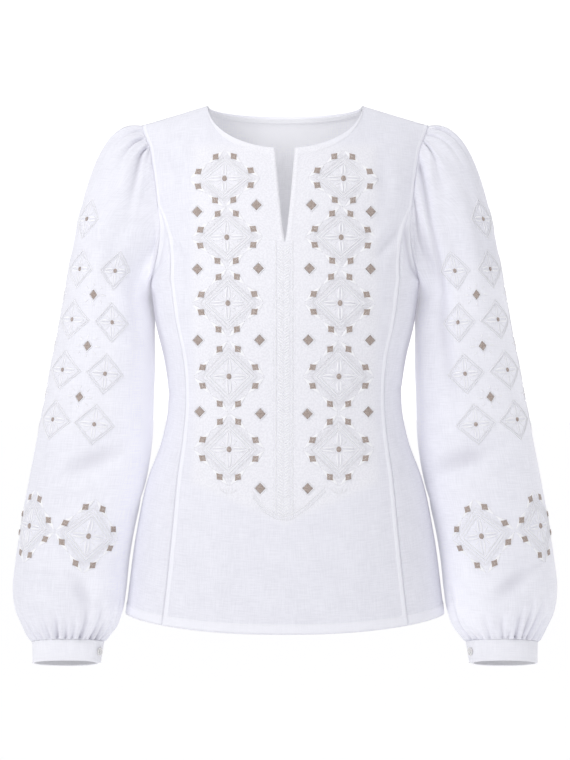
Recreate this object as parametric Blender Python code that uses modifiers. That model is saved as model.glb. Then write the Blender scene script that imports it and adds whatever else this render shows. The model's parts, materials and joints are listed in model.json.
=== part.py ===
"""A woman's embroidered linen shirt, hollow and filled out as if worn, with no wearer.

The frame: metres, +Z up, the front faces -Y, and +X is the wearer's left. The origin is the
middle of the neck opening, level with the two neck points where the shoulder seams begin.

The torso is one smooth form. Below the underarm its level sections are superellipses, and above
it the sections follow the sloping shoulder line and thin out into it. The front, side fronts and
back are stretches of that form, cut apart at the seams. Each sleeve starts on the armhole, swells
into a pleated head, runs down as a tube of rings and is gathered into its cuff.
"""

import math

import bmesh
import bpy
import numpy as np
from mathutils import Vector

# Cloth and seams
CLOTH = 0.0012  # the wall of a single layer of linen
CUFF_CLOTH = 0.0022  # a folded and interfaced cuff
FACING_CLOTH = 0.0010
SEAM_GAP = 0.0005
ARMHOLE_GAP = 0.0007
SEAM_STRIP = 0.0015  # the level strip of a panel along the shoulder seam
NECK_STRIP = 0.08  # and along the neckline, as a share of the row below it

# Neck and shoulders
NECK_HALF_WIDTH = 0.0924
FRONT_NECK_DROP = 0.0580
BACK_NECK_DROP = 0.0095
FACING_HEIGHT = 0.0075
SHOULDER_HALF_WIDTH = 0.1720
SHOULDER_DROP = 0.0242
SHOULDER_SLOPE = SHOULDER_DROP / (SHOULDER_HALF_WIDTH - NECK_HALF_WIDTH)
FRONT_CREST = 1.6  # how squarely the front turns over the shoulder; 2 is an ellipse
BACK_CREST = 2.0

# The slit below the front neck
SLIT_HALF_WIDTH = 0.0113
SLIT_CURVE = 0.75

# Torso below the underarm
UNDERARM = -0.2100
SIDE_HEM = -0.6070
HEM_DIP = 0.0140  # how much lower the hem hangs at the centre than at the sides
SECTION_POWER = 2.3  # the superellipse of a level section

# height, half width, front depth, back depth, and the front seam's distance from the centre
TRUNK = np.array(
    [
        (-0.630, 0.1935, 0.1370, 0.1280, 0.1450),
        (-0.580, 0.1872, 0.1340, 0.1250, 0.1385),
        (-0.509, 0.1776, 0.1270, 0.1180, 0.1312),
        (-0.449, 0.1650, 0.1180, 0.1050, 0.1255),
        (-0.400, 0.1472, 0.1085, 0.0900, 0.1195),
        (-0.353, 0.1395, 0.1045, 0.0820, 0.1165),
        (-0.305, 0.1445, 0.1130, 0.0860, 0.1190),
        (-0.260, 0.1545, 0.1230, 0.0940, 0.1275),
        (-0.210, 0.1610, 0.1220, 0.1000, 0.1340),
    ]
)
HEIGHT, HALF_WIDTH, FRONT_DEPTH, BACK_DEPTH, SEAM_X = range(5)

# The armhole, from the shoulder tip (turn 0) to the underarm (turn 1): how many degrees its front
# edge and its back edge lie from the side, round the level section
ARMHOLE = np.array(
    [
        (0.00, 0.0, 0.0),
        (0.12, 6.0, 5.0),
        (0.20, 12.5, 9.5),
        (0.26, 17.5, 12.5),
        (0.35, 20.5, 15.5),
        (0.43, 22.5, 17.5),
        (0.53, 24.5, 19.0),
        (0.62, 26.0, 19.5),
        (0.70, 24.0, 18.5),
        (0.79, 19.0, 15.0),
        (0.90, 9.5, 8.0),
        (1.00, 0.0, 0.0),
    ]
)
TURN, FRONT_EDGE, BACK_EDGE = range(3)
SEAM_JOIN = 0.450  # the level at which the front seam runs into the armhole
SEAM_SWING = 2.2  # how late it swings out to get there
SEAM_DIP = 0.0015  # and how far it first dips in

# Grid sizes of the torso's panels, as half panels
NECK_COLUMNS = 6
SHOULDER_COLUMNS = 5
TRUNK_ROWS = 11
SIDE_COLUMNS = 5
SIDE_TOP_ROWS = 8
SIDE_TIP = 0.97  # how near the side front's point comes to the place where the seams join
SLIT_ROW = 6  # the row, counted from the underarm, where the slit ends
UPPER_FRONT_ROWS = 9
COLUMN_SPREAD = 1.5  # how late the columns turn from their even spread to the neck and shoulder
BACK_ROWS = 13

# Sleeve rings below the head: height, inner and outer x, half depth, the ring centre's y, and
# the slope of the ring's plane (its front edge is the higher one)
SLEEVE = np.array(
    [
        (-0.235, 0.1625, 0.2660, 0.0600, 0.002, 0.00),
        (-0.260, 0.1580, 0.2705, 0.0610, 0.004, 0.00),
        (-0.300, 0.1565, 0.2790, 0.0620, 0.008, 0.00),
        (-0.353, 0.1580, 0.2890, 0.0630, 0.010, 0.00),
        (-0.401, 0.1595, 0.2985, 0.0640, 0.007, 0.02),
        (-0.449, 0.1660, 0.3070, 0.0650, -0.001, 0.04),
        (-0.500, 0.1768, 0.3155, 0.0665, -0.009, 0.07),
        (-0.545, 0.1840, 0.3215, 0.0670, -0.016, 0.10),
        (-0.580, 0.1883, 0.3240, 0.0650, -0.022, 0.13),
        (-0.605, 0.1931, 0.3200, 0.0590, -0.026, 0.16),
        (-0.622, 0.2003, 0.3125, 0.0490, -0.028, 0.19),
        (-0.6405, 0.2172, 0.3005, 0.0315, -0.030, 0.22),
    ]
)
RING_Z, INNER_X, OUTER_X, HALF_DEPTH, CENTRE_Y, PLANE_SLOPE = range(6)
SLEEVE_HEAD_END = SLEEVE[0, RING_Z]
SLEEVE_COLUMNS = 60
HEAD_ROWS = 8
TUBE_ROWS = 5
GATHER_ROWS = 5
GATHER_START = -0.560
HEAD_SPACING = 1.35  # above 1, the head's rows are closest together at the armhole

# The direction in which the sleeve leaves the armhole, at the underarm and at the shoulder tip,
# and how far along its head it keeps that direction and that of the tube below
LEAVE_OUT = (0.1, 1.0)
LEAVE_UP = (-1.0, 0.2)
LEAVE_ASIDE = 0.5
LEAVE_REACH = 0.25
ARRIVE_REACH = (0.34, 0.50)

# Pleats of the sleeve head and gathers at the cuff: each takes three columns of the sleeve
PLEAT_COUNT = 8  # half of them in front of the shoulder tip and half behind it
PLEAT_PITCH = 0.0100
PLEAT_DEPTH = 0.0048
PLEAT_RISE = 0.07  # share of the head's length over which a pleat rises from the seam
PLEAT_LENGTH = 0.42  # and over which it dies away
PLEAT_FADE = 1.5
GATHER_DEPTH = 0.0040
GATHER_SWELL = (0.25, 0.45, 0.75, 1.0, 0.9)  # how full the gathers are, row by row
SEAM_SWELL = 0.35  # and in the seam
GATHER_REACH = 0.8  # gathers run up by lengths that differ this much
GATHER_CHANGE = 2.4  # radians from one gather's length to the next one's
WAVE = np.array([0.9, -0.6, -0.3])

# Soft folds of the sleeve: degrees round it from its outer side towards the front, height,
# half width in degrees, half length, and how deep the cloth sinks there
SLEEVE_FOLDS = (
    (52, -0.150, 16, 0.085, 0.0035),
    (96, -0.170, 15, 0.075, 0.0030),
    (138, -0.230, 14, 0.090, 0.0035),
    (-60, -0.160, 18, 0.090, 0.0035),
    (-112, -0.200, 16, 0.080, 0.0030),
    (100, -0.452, 34, 0.020, 0.0030),
    (150, -0.425, 26, 0.018, 0.0035),
    (-150, -0.440, 30, 0.020, 0.0030),
)

# Cuff
CUFF_HEIGHT = 0.0245
CUFF_HALF_WIDTHS = (0.0414, 0.0392)  # top and bottom edge
CUFF_HALF_DEPTHS = (0.0313, 0.0298)
CUFF_SHIFT = (0.0015, -0.0052)  # how far the bottom edge lies outwards and forwards of the top
CUFF_COLUMNS = 44
CUFF_LAP_COLUMNS = 4
CUFF_LAP_TURN = 174  # degrees from the outer side, through the front, to the lap's end
CUFF_LEVELS = (0.02, 0.5, 1.0)  # the cuff's rows, as shares of its height from the top
BUTTON_TURN = 157
BUTTON_RADIUS = 0.0050
BUTTON_HEIGHT = 0.0018


def smooth(at, xs, ys):
    """A cubic curve through the points (xs, ys), each point's slope taken from its neighbours."""
    slopes = np.gradient(ys, xs)
    i = np.clip(np.searchsorted(xs, at) - 1, 0, len(xs) - 2)
    width = xs[i + 1] - xs[i]
    u = (at - xs[i]) / width
    start = ys[i] * (1 + 2 * u) + slopes[i] * width * u
    end = ys[i + 1] * (3 - 2 * u) + slopes[i + 1] * width * (u - 1)
    return start * (1 - u) ** 2 + end * u**2


def trunk(column, height):
    """A column of the trunk's table at any height."""
    return smooth(height, TRUNK[:, HEIGHT], TRUNK[:, column])


def shoulder_height(x):
    """The shoulder line's height over x: sloping outside the neck, one flat arch inside it."""
    x = np.abs(x)
    arch = NECK_HALF_WIDTH * (1 - (x / NECK_HALF_WIDTH) ** 2) / 2
    outside = NECK_HALF_WIDTH - x
    return SHOULDER_SLOPE * np.where(x < NECK_HALF_WIDTH, arch, outside)


def level_of(x, height):
    """The level of a point: 0 at the underarm, 1 on the shoulder line above that point."""
    return (height - UNDERARM) / (shoulder_height(x) - UNDERARM)


def height_of(x, level):
    return UNDERARM + (shoulder_height(x) - UNDERARM) * level


def upper_section(level, front):
    """Half width and depth of the form at a level above the underarm."""
    level = np.clip(level, 0, 1)
    widest = trunk(HALF_WIDTH, UNDERARM)
    half_width = widest + (SHOULDER_HALF_WIDTH - widest) * level**2
    crest = FRONT_CREST if front else BACK_CREST
    depth = trunk(FRONT_DEPTH if front else BACK_DEPTH, UNDERARM)
    return half_width, depth * (1 - level**crest) ** (1 / crest)


def section_depth(x, half_width, depth):
    """The superellipse: how far the cloth stands from the side seam's plane at x."""
    inside = np.clip(1 - np.abs(x / half_width) ** SECTION_POWER, 0, 1)
    return depth * inside ** (1 / SECTION_POWER)


def turn_of(level):
    """The armhole's turn at a level: 0 at the shoulder tip, 1 at the underarm."""
    return np.arccos(np.clip(2 * level - 1, -1, 1)) / math.pi


def armhole_x(level, front):
    """The armhole edge's x at a level, from its angle round the section there."""
    edge = ARMHOLE[:, FRONT_EDGE if front else BACK_EDGE]
    angle = np.radians(smooth(turn_of(level), ARMHOLE[:, TURN], edge))
    return upper_section(level, front)[0] * np.cos(angle) ** (2 / SECTION_POWER)


def front_seam_x(level):
    """The front seam above the underarm, swinging out to meet the armhole."""
    low, high = trunk(SEAM_X, UNDERARM), armhole_x(SEAM_JOIN, True)
    share = level / SEAM_JOIN
    return low + (high - low) * share**SEAM_SWING - SEAM_DIP * np.sin(math.pi * share)


def upper_point(x, level, front):
    """Points of the form above the underarm."""
    half_width, depth = upper_section(level, front)
    y = section_depth(x, half_width, depth) * (-1 if front else 1)
    return np.stack([x, y, height_of(x, level)], axis=-1)


def trunk_row(share, angle):
    """Points of the trunk at a share of the way from hem to underarm, at angles from the centre
    front (0) round the side seam (90) to the centre back (180 degrees)."""
    hem = SIDE_HEM - HEM_DIP * np.cos(angle) ** 2
    height = hem + (UNDERARM - hem) * share
    side, ahead = np.sin(angle), np.cos(angle)
    depth = np.where(ahead > 0, trunk(FRONT_DEPTH, height), trunk(BACK_DEPTH, height))
    power = 2 / SECTION_POWER
    x = trunk(HALF_WIDTH, height) * np.abs(side) ** power
    y = -depth * np.sign(ahead) * np.abs(ahead) ** power
    return np.stack([x, y, height], axis=-1)


def seam_angle(height):
    """The angle of the front seam round the trunk."""
    share = trunk(SEAM_X, height) / trunk(HALF_WIDTH, height)
    return np.arcsin(share ** (SECTION_POWER / 2))


def eased(start, end, count):
    """Numbers from start to end, closest together at the end."""
    return start + (end - start) * np.sin(np.linspace(0, math.pi / 2, count))


def cosine(start, end, count):
    """Numbers from start to end, closest together at both."""
    return start + (end - start) * (1 - np.cos(np.linspace(0, math.pi, count))) / 2


def neck_x(columns):
    """Column positions across the neck, even in angle round the neck's ellipse."""
    return NECK_HALF_WIDTH * np.sin(np.linspace(0, math.pi / 2, columns + 1))


def half_panel(front, rows, edge_x):
    """A half panel of the front or back above the underarm, rows by columns: its top edge is the
    neckline and then the shoulder seam. edge_x(level) is the panel's outer edge."""
    drop = FRONT_NECK_DROP if front else BACK_NECK_DROP
    slit = SLIT_HALF_WIDTH if front else 0.0
    neck = slit + (NECK_HALF_WIDTH - slit) * neck_x(NECK_COLUMNS) / NECK_HALF_WIDTH
    neck_z = -drop * np.sqrt(np.clip(1 - (neck / NECK_HALF_WIDTH) ** 2, 0, 1))
    shoulder = np.linspace(NECK_HALF_WIDTH, SHOULDER_HALF_WIDTH, SHOULDER_COLUMNS + 1)[1:]
    top_x = np.concatenate([neck, shoulder])
    top_level = np.concatenate([level_of(neck, neck_z), np.ones(SHOULDER_COLUMNS)])
    top_level[NECK_COLUMNS] = 1.0
    across = np.linspace(0, 1, len(top_x))
    made = []
    for share in rows:
        level = top_level * share
        edge = edge_x(level)
        inner = slit_half_width(level[0]) if front else 0.0
        low = bottom_share(front, across)
        high = (top_x - slit) / (edge_x(top_level) - slit)
        mix = low + (high - low) * share**COLUMN_SPREAD
        made.append(upper_point(inner + (edge - inner) * mix, level, front))
    return np.array(made)


def bottom_share(front, across):
    """Where the columns lie at the underarm, as shares of the panel's half width there."""
    angle = seam_angle(UNDERARM) if front else math.pi / 2
    power = 2 / SECTION_POWER
    return np.sin(across * angle) ** power / np.sin(angle) ** power


def slit_half_width(level):
    """Half the slit's opening at a level of the centre line."""
    top = level_of(0.0, -FRONT_NECK_DROP)
    start = top * seam_levels()[SLIT_ROW]
    return SLIT_HALF_WIDTH * max(0.0, (level - start) / (top - start)) ** SLIT_CURVE


def linen(name, colour, roughness):
    material = bpy.data.materials.new(name)
    material.use_nodes = True
    shader = material.node_tree.nodes["Principled BSDF"]
    shader.inputs["Base Color"].default_value = (*colour, 1.0)
    shader.inputs["Roughness"].default_value = roughness
    return material


def grid_faces(rows, columns, closed):
    """Quads of a grid of points; closed joins its last column to its first."""
    index = np.arange(rows * columns).reshape(rows, columns)
    right = np.roll(index, -1, axis=1) if closed else index[:, 1:]
    left = index if closed else index[:, :-1]
    quads = np.stack([left[:-1], right[:-1], right[1:], left[1:]], axis=-1)
    return quads.reshape(-1, 4).tolist()


def cloth_object(name, points, material, thickness, side=1, closed=False, mirrored=False):
    """A sheet of cloth over a grid of points seen from outside, thickened inwards. With side -1
    it is made for the other side of the body."""
    points = points * (side, 1, 1)
    points = points if side > 0 else points[:, ::-1]
    rows, columns = points.shape[:2]
    mesh = bpy.data.meshes.new(name)
    mesh.from_pydata(points.reshape(-1, 3).tolist(), [], grid_faces(rows, columns, closed))
    mesh.materials.append(material)
    mesh.shade_smooth()
    cloth = bpy.data.objects.new(name, mesh)
    COLLECTION.objects.link(cloth)
    if mirrored:
        mirror = cloth.modifiers.new("other half", "MIRROR")
        mirror.merge_threshold = 0.0001
    wall = cloth.modifiers.new("wall", "SOLIDIFY")
    wall.thickness = thickness
    wall.offset = -1
    wall.use_even_offset = True
    wall.use_quality_normals = True
    return cloth


def flat_seam(points):
    """The last row drawn back by half a seam, with a narrow level strip next to it, so that the
    panel ends square at the shoulder seam."""
    side = np.sign(points[-3, -1, 1])
    edge, strip = points[-1].copy(), points[-1].copy()
    edge[NECK_COLUMNS:, 1] += side * SEAM_GAP / 2
    strip[NECK_COLUMNS:, 1] += side * SEAM_STRIP
    neck = slice(0, NECK_COLUMNS)
    strip[neck] += (points[-2, neck] - points[-1, neck]) * NECK_STRIP
    return np.concatenate([points[:-1], strip[None], edge[None]])


def seam_levels():
    """Levels of the rows between the underarm and the place where the front seam joins the
    armhole, the same on both sides of that seam."""
    turns = np.linspace(1, turn_of(SEAM_JOIN), SIDE_TOP_ROWS + 1)
    return (1 + np.cos(math.pi * turns)) / 2


def front_points():
    """Half the centre front: from the hem, between the centre line and the front seam, over the
    chest to the neckline and the shoulder seam, with half the slit."""
    across = np.linspace(0, 1, NECK_COLUMNS + SHOULDER_COLUMNS + 1)
    gap = SEAM_GAP / 2 / trunk(HALF_WIDTH, UNDERARM)
    below = []
    for share in np.linspace(0, 1, TRUNK_ROWS + 1)[:-1]:
        edge = seam_angle(SIDE_HEM + (UNDERARM - SIDE_HEM) * share) - gap
        below.append(trunk_row(share, across * edge))
    rows = np.concatenate([seam_levels()[:-1], eased(SEAM_JOIN, 1, UPPER_FRONT_ROWS)])

    def edge_x(level):
        seam = front_seam_x(np.minimum(level, SEAM_JOIN))
        return np.where(level < SEAM_JOIN, seam, armhole_x(level, True)) - SEAM_GAP / 2

    return np.concatenate([np.array(below), flat_seam(half_panel(True, rows, edge_x))])


def back_points():
    """Half the back, from the centre line to the side seam, up to the back neckline."""
    across = np.linspace(0, 1, NECK_COLUMNS + SHOULDER_COLUMNS + 1)
    edge = math.pi / 2 + SEAM_GAP / 2 / trunk(BACK_DEPTH, UNDERARM)
    below = [
        trunk_row(share, math.pi - across * (math.pi - edge))
        for share in np.linspace(0, 1, TRUNK_ROWS + 1)[:-1]
    ]
    above = half_panel(False, cosine(0, 1, BACK_ROWS), lambda level: armhole_x(level, False))
    above[0, -1] = trunk_row(1.0, np.array([edge]))[0]
    return np.concatenate([np.array(below), flat_seam(above)])


def side_front_points():
    """A side front: from the front seam round to the side seam, ending in a point on the
    armhole."""
    across = np.linspace(0, 1, SIDE_COLUMNS + 1)
    gap = SEAM_GAP / 2 / trunk(FRONT_DEPTH, UNDERARM)
    rows = []
    for share in np.linspace(0, 1, TRUNK_ROWS + 1)[:-1]:
        first = seam_angle(SIDE_HEM + (UNDERARM - SIDE_HEM) * share) + gap
        rows.append(trunk_row(share, first + (math.pi / 2 - gap - first) * across))
    for level in np.append(seam_levels()[:-1], SEAM_JOIN * SIDE_TIP):
        half_width, _ = upper_section(level, True)
        edges = np.array([front_seam_x(level) + SEAM_GAP / 2, armhole_x(level, True)])
        first, last = np.arcsin((edges / half_width) ** (SECTION_POWER / 2))
        angle = first + (min(last, math.pi / 2 - gap) - first) * across
        x = half_width * np.sin(angle) ** (2 / SECTION_POWER)
        rows.append(upper_point(x, np.full_like(x, level), True))
    return np.array(rows)


def armhole_loop(front, side_front, back):
    """The armhole's edge as a closed run of points taken from its three panels: from the
    shoulder tip down the front to the underarm and up the back."""
    lowest = TRUNK_ROWS + SIDE_TOP_ROWS
    return np.concatenate(
        [
            front[lowest:, -1][::-1],
            side_front[TRUNK_ROWS:, -1][::-1],
            back[TRUNK_ROWS:, -1],
        ]
    )


def run_lengths(points):
    """How far along a run of points each of them lies."""
    steps = np.linalg.norm(np.diff(points, axis=0), axis=1)
    return np.concatenate([[0], np.cumsum(steps)])


def along_run(points, shares):
    """Points at shares of the length of a run of points."""
    length = run_lengths(points)
    at = shares * length[-1]
    return np.stack([np.interp(at, length, points[:, k]) for k in range(3)], axis=-1)


def head_shares(length):
    """Shares of the armhole's length for the sleeve's columns: close together in the pleated
    stretch over the shoulder tip, wider below."""
    count = PLEAT_COUNT * len(WAVE) // 2
    pleated = PLEAT_COUNT * PLEAT_PITCH / 2 / length
    top = np.linspace(0, pleated, count + 1)
    rest = np.linspace(pleated, 1 - pleated, SLEEVE_COLUMNS - 2 * count + 1)[1:]
    return np.concatenate([top, rest, np.linspace(1 - pleated, 1, count + 1)[1:-1]])


def sleeve_ring(height, turns):
    """A ring of the sleeve below its head, at angles from its outer side through the front."""
    inner, outer, half_depth, y, slope = (
        smooth(-height, -SLEEVE[:, RING_Z], SLEEVE[:, column])
        for column in (INNER_X, OUTER_X, HALF_DEPTH, CENTRE_Y, PLANE_SLOPE)
    )
    ahead = -half_depth * np.sin(turns)
    x = (inner + outer) / 2 + (outer - inner) / 2 * np.cos(turns)
    return np.stack([x, y + ahead, height - slope * ahead], axis=-1)


def sleeve_surface(loop):
    """The sleeve's outer surface on the wearer's left, rows by columns, before its folds: cubic
    curves from the armhole to the first ring, then the rings down to the cuff."""
    start = along_run(loop, head_shares(run_lengths(loop)[-1]))
    start[:, 0] += ARMHOLE_GAP
    turns = np.linspace(0, 2 * math.pi, SLEEVE_COLUMNS, endpoint=False)
    end = sleeve_ring(SLEEVE_HEAD_END, turns)
    below = sleeve_ring(SLEEVE_HEAD_END - 0.01, turns)
    tip = (1 + np.cos(turns)) / 2
    out, up = (np.interp(tip, (0, 1), ends) for ends in (LEAVE_OUT, LEAVE_UP))
    leave = np.stack([out, -LEAVE_ASIDE * np.sin(turns), up], axis=-1)
    leave /= np.linalg.norm(leave, axis=1)[:, None]
    arrive = (below - end) / np.linalg.norm(below - end, axis=1)[:, None]
    chord = np.linalg.norm(end - start, axis=1)[:, None]
    second = start + leave * chord * LEAVE_REACH
    third = end - arrive * chord * np.interp(tip, (0, 1), ARRIVE_REACH)[:, None]
    rows = []
    for share in np.linspace(0, 1, HEAD_ROWS + 1) ** HEAD_SPACING:
        back = 1 - share
        rows.append(
            start * back**3
            + second * 3 * back**2 * share
            + third * 3 * back * share**2
            + end * share**3
        )
    tube = np.linspace(SLEEVE_HEAD_END, GATHER_START, TUBE_ROWS + 1)[1:]
    cuff_top = SLEEVE[-1, RING_Z] + SEAM_GAP
    gathered = eased(GATHER_START, cuff_top, GATHER_ROWS + 1)[1:]
    rows += [sleeve_ring(height, turns) for height in np.concatenate([tube, gathered])]
    return np.array(rows)


def surface_normals(points):
    """Outward unit normals of a closed tube whose rows run downwards."""
    down = np.gradient(points, axis=0)
    round_it = np.roll(points, -1, axis=1) - np.roll(points, 1, axis=1)
    normal = np.cross(round_it, down)
    return normal / np.linalg.norm(normal, axis=2)[..., None]


def sleeve_relief(points):
    """How far the pleats, gathers and soft folds push each point of the sleeve outwards."""
    rows = len(points)
    relief = np.zeros(points.shape[:2])
    columns = np.arange(SLEEVE_COLUMNS)
    wave = WAVE[columns % len(WAVE)]
    from_top = np.minimum(columns, SLEEVE_COLUMNS - columns)
    pleated = np.clip((PLEAT_COUNT * len(WAVE) / 2 + 1 - from_top) / len(WAVE), 0, 1)
    head = np.linspace(0, 1, HEAD_ROWS + 1) ** HEAD_SPACING
    for row, share in enumerate(head):
        fade = max(0.0, 1 - share / PLEAT_LENGTH) ** PLEAT_FADE
        relief[row] += PLEAT_DEPTH * fade * wave * pleated * min(1.0, share / PLEAT_RISE)
    reach = GATHER_REACH + (1 - GATHER_REACH) * np.sin(columns // len(WAVE) * GATHER_CHANGE)
    for row, swell in enumerate(GATHER_SWELL, start=rows - GATHER_ROWS):
        relief[row] += GATHER_DEPTH * wave * np.clip(1 - (1 - swell) / reach, 0, 1)
    relief[-1] = GATHER_DEPTH * wave * SEAM_SWELL
    degrees = np.degrees(np.linspace(0, 2 * math.pi, SLEEVE_COLUMNS, endpoint=False))
    for turn, height, half_turn, half_length, depth in SLEEVE_FOLDS:
        away = (degrees - turn + 180) % 360 - 180
        across = np.exp(-((away / half_turn) ** 2))
        along = np.exp(-(((points[..., 2] - height) / half_length) ** 2))
        relief[1:-1] -= (depth * across * along)[1:-1]
    return relief


def sleeve_points(loop):
    """The sleeve on the wearer's left with its pleats, soft folds and gathers."""
    points = sleeve_surface(loop)
    outward = surface_normals(points)
    outward[-GATHER_ROWS:, :, 2] = 0
    outward[-GATHER_ROWS:] /= np.linalg.norm(outward[-GATHER_ROWS:], axis=2)[..., None]
    return points + outward * sleeve_relief(points)[..., None]


def cuff_ring(share, turns, outwards):
    """Points round the cuff at a share of its height from the top, moved outwards."""
    ring = SLEEVE[-1]
    centre_x = (ring[INNER_X] + ring[OUTER_X]) / 2 + CUFF_SHIFT[0] * share
    half_width = np.interp(share, (0, 1), CUFF_HALF_WIDTHS) + outwards
    half_depth = np.interp(share, (0, 1), CUFF_HALF_DEPTHS) + outwards
    ahead = -half_depth * np.sin(turns)
    x = centre_x + half_width * np.cos(turns)
    z = ring[RING_Z] - CUFF_HEIGHT * share - ring[PLANE_SLOPE] * ahead
    return np.stack([x, ring[CENTRE_Y] + CUFF_SHIFT[1] * share + ahead, z], axis=-1)


def cuff_points():
    """A cuff: a doubled band that goes once round the wrist and laps over its own end."""
    step = 2 * math.pi / CUFF_COLUMNS
    last = math.radians(CUFF_LAP_TURN)
    turns = last - step * np.arange(CUFF_COLUMNS + CUFF_LAP_COLUMNS + 1)[::-1]
    from_end = np.arange(len(turns))[::-1]
    lifted = np.clip((CUFF_LAP_COLUMNS + 3 - from_end) / 3, 0, 1)
    lift = (CUFF_CLOTH + 2 * SEAM_GAP) * lifted
    return np.array([cuff_ring(share, turns, lift) for share in CUFF_LEVELS])


def build_button(side, name, material):
    """The cuff's button: a flat disc with a rounded edge, on the lap."""
    turn = math.radians(BUTTON_TURN)
    lift = CUFF_CLOTH + 2 * SEAM_GAP
    place, beside, under = (
        cuff_ring(share, np.array([at]), lift)[0]
        for share, at in ((0.5, turn), (0.5, turn + 0.05), (0.6, turn))
    )
    outward = np.cross(beside - place, under - place)
    outward /= np.linalg.norm(outward)
    centre = (place + outward * (BUTTON_HEIGHT / 2 + SEAM_GAP)) * (side, 1, 1)
    mesh = bpy.data.meshes.new(name)
    shape = bmesh.new()
    bmesh.ops.create_cone(
        shape,
        cap_ends=True,
        segments=20,
        radius1=BUTTON_RADIUS,
        radius2=BUTTON_RADIUS,
        depth=BUTTON_HEIGHT,
    )
    shape.to_mesh(mesh)
    shape.free()
    mesh.materials.append(material)
    button = bpy.data.objects.new(name, mesh)
    COLLECTION.objects.link(button)
    axis = Vector(outward * (side, 1, 1))
    button.location = centre
    button.rotation_mode = "QUATERNION"
    button.rotation_quaternion = axis.to_track_quat("Z", "Y")
    edge = button.modifiers.new("rounded edge", "BEVEL")
    edge.width = BUTTON_HEIGHT * 0.3
    edge.segments = 2
    return button


def build_facing(back, material):
    """The narrow facing inside the back neckline, made from the back's own points moved in."""
    down = np.linspace(FACING_HEIGHT, 0.0004, 5)
    columns = []
    for column in range(NECK_COLUMNS + 1):
        run = back[::-1, column]
        columns.append(along_run(run, down / run_lengths(run)[-1]))
    points = np.stack(columns, axis=1)
    normal = np.cross(np.gradient(points, axis=1), np.gradient(points, axis=0))
    inward = -normal / np.linalg.norm(normal, axis=2)[..., None]
    inward *= np.sign(-inward[..., 1:2])
    points = points + inward * (CLOTH + 2 * SEAM_GAP)
    points[:, 0, 0] = 0.0
    return cloth_object("neck_facing", points[:, ::-1], material, FACING_CLOTH, mirrored=True)


def main():
    white = linen("white linen", (0.90, 0.90, 0.93), 0.85)
    crisp = linen("white linen, doubled", (0.91, 0.91, 0.94), 0.8)
    shell = linen("white button", (0.88, 0.87, 0.85), 0.3)
    front, side_front, back = front_points(), side_front_points(), back_points()
    cloth_object("front", front, white, CLOTH, mirrored=True)
    cloth_object("back", back[:, ::-1], white, CLOTH, mirrored=True)
    build_facing(back, crisp)
    sleeve = sleeve_points(armhole_loop(front, side_front, back))
    for side, word in ((1, "left"), (-1, "right")):
        cloth_object(f"side_front_{word}", side_front, white, CLOTH, side)
        cloth_object(f"sleeve_{word}", sleeve, white, CLOTH, side, closed=True)
        cloth_object(f"cuff_{word}", cuff_points(), crisp, CUFF_CLOTH, side)
        build_button(side, f"cuff_button_{word}", shell)


for startup in list(bpy.data.objects):
    bpy.data.objects.remove(startup)
COLLECTION = bpy.data.collections.new("embroidered shirt")
bpy.context.scene.collection.children.link(COLLECTION)
main()
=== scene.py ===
# %% [markdown]
# # An embroidered linen shirt
# A woman's shirt of white linen, embroidered in white with small taupe squares. It stands filled
# out, as if worn, but with nobody in it, so every part is cloth: panels, sleeves and cuffs that
# are hollow, with edges, hems and seams that can be seen.
#
# The solids of the shirt are already packed as a frame. This lesson dresses that frame: a fine
# sheet of cloth replaces each plain solid, and then come the stitches.

import json
import math

import bmesh
import bpy
import numpy as np
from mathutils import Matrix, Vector

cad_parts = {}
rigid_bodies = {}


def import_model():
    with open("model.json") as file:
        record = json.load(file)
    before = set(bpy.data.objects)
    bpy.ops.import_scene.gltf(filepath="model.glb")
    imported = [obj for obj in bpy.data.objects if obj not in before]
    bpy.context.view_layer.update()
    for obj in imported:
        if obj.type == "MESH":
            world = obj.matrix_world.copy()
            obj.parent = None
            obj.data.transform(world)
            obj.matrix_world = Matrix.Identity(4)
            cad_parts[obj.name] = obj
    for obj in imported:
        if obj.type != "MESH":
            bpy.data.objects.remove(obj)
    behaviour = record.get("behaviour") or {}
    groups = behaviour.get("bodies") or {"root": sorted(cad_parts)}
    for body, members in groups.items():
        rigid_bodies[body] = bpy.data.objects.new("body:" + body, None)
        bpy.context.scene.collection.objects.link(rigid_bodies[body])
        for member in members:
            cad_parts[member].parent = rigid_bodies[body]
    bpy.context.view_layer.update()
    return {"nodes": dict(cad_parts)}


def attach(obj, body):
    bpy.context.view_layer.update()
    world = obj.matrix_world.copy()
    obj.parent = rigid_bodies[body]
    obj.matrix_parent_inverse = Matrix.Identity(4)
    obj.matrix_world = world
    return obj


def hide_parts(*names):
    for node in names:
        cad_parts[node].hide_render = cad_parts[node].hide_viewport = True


for startup in list(bpy.data.objects):
    bpy.data.objects.remove(startup)
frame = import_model()
BODY = "root"
print("nodes:", sorted(frame["nodes"]))

# %% [markdown]
# ## Shader maths that reads as maths
# A material is a net of nodes. Wrapping a socket in a small class lets an expression such as
# `weft + warp * 0.3` add the Math nodes by itself, so a finish can be written as a formula.


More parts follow.
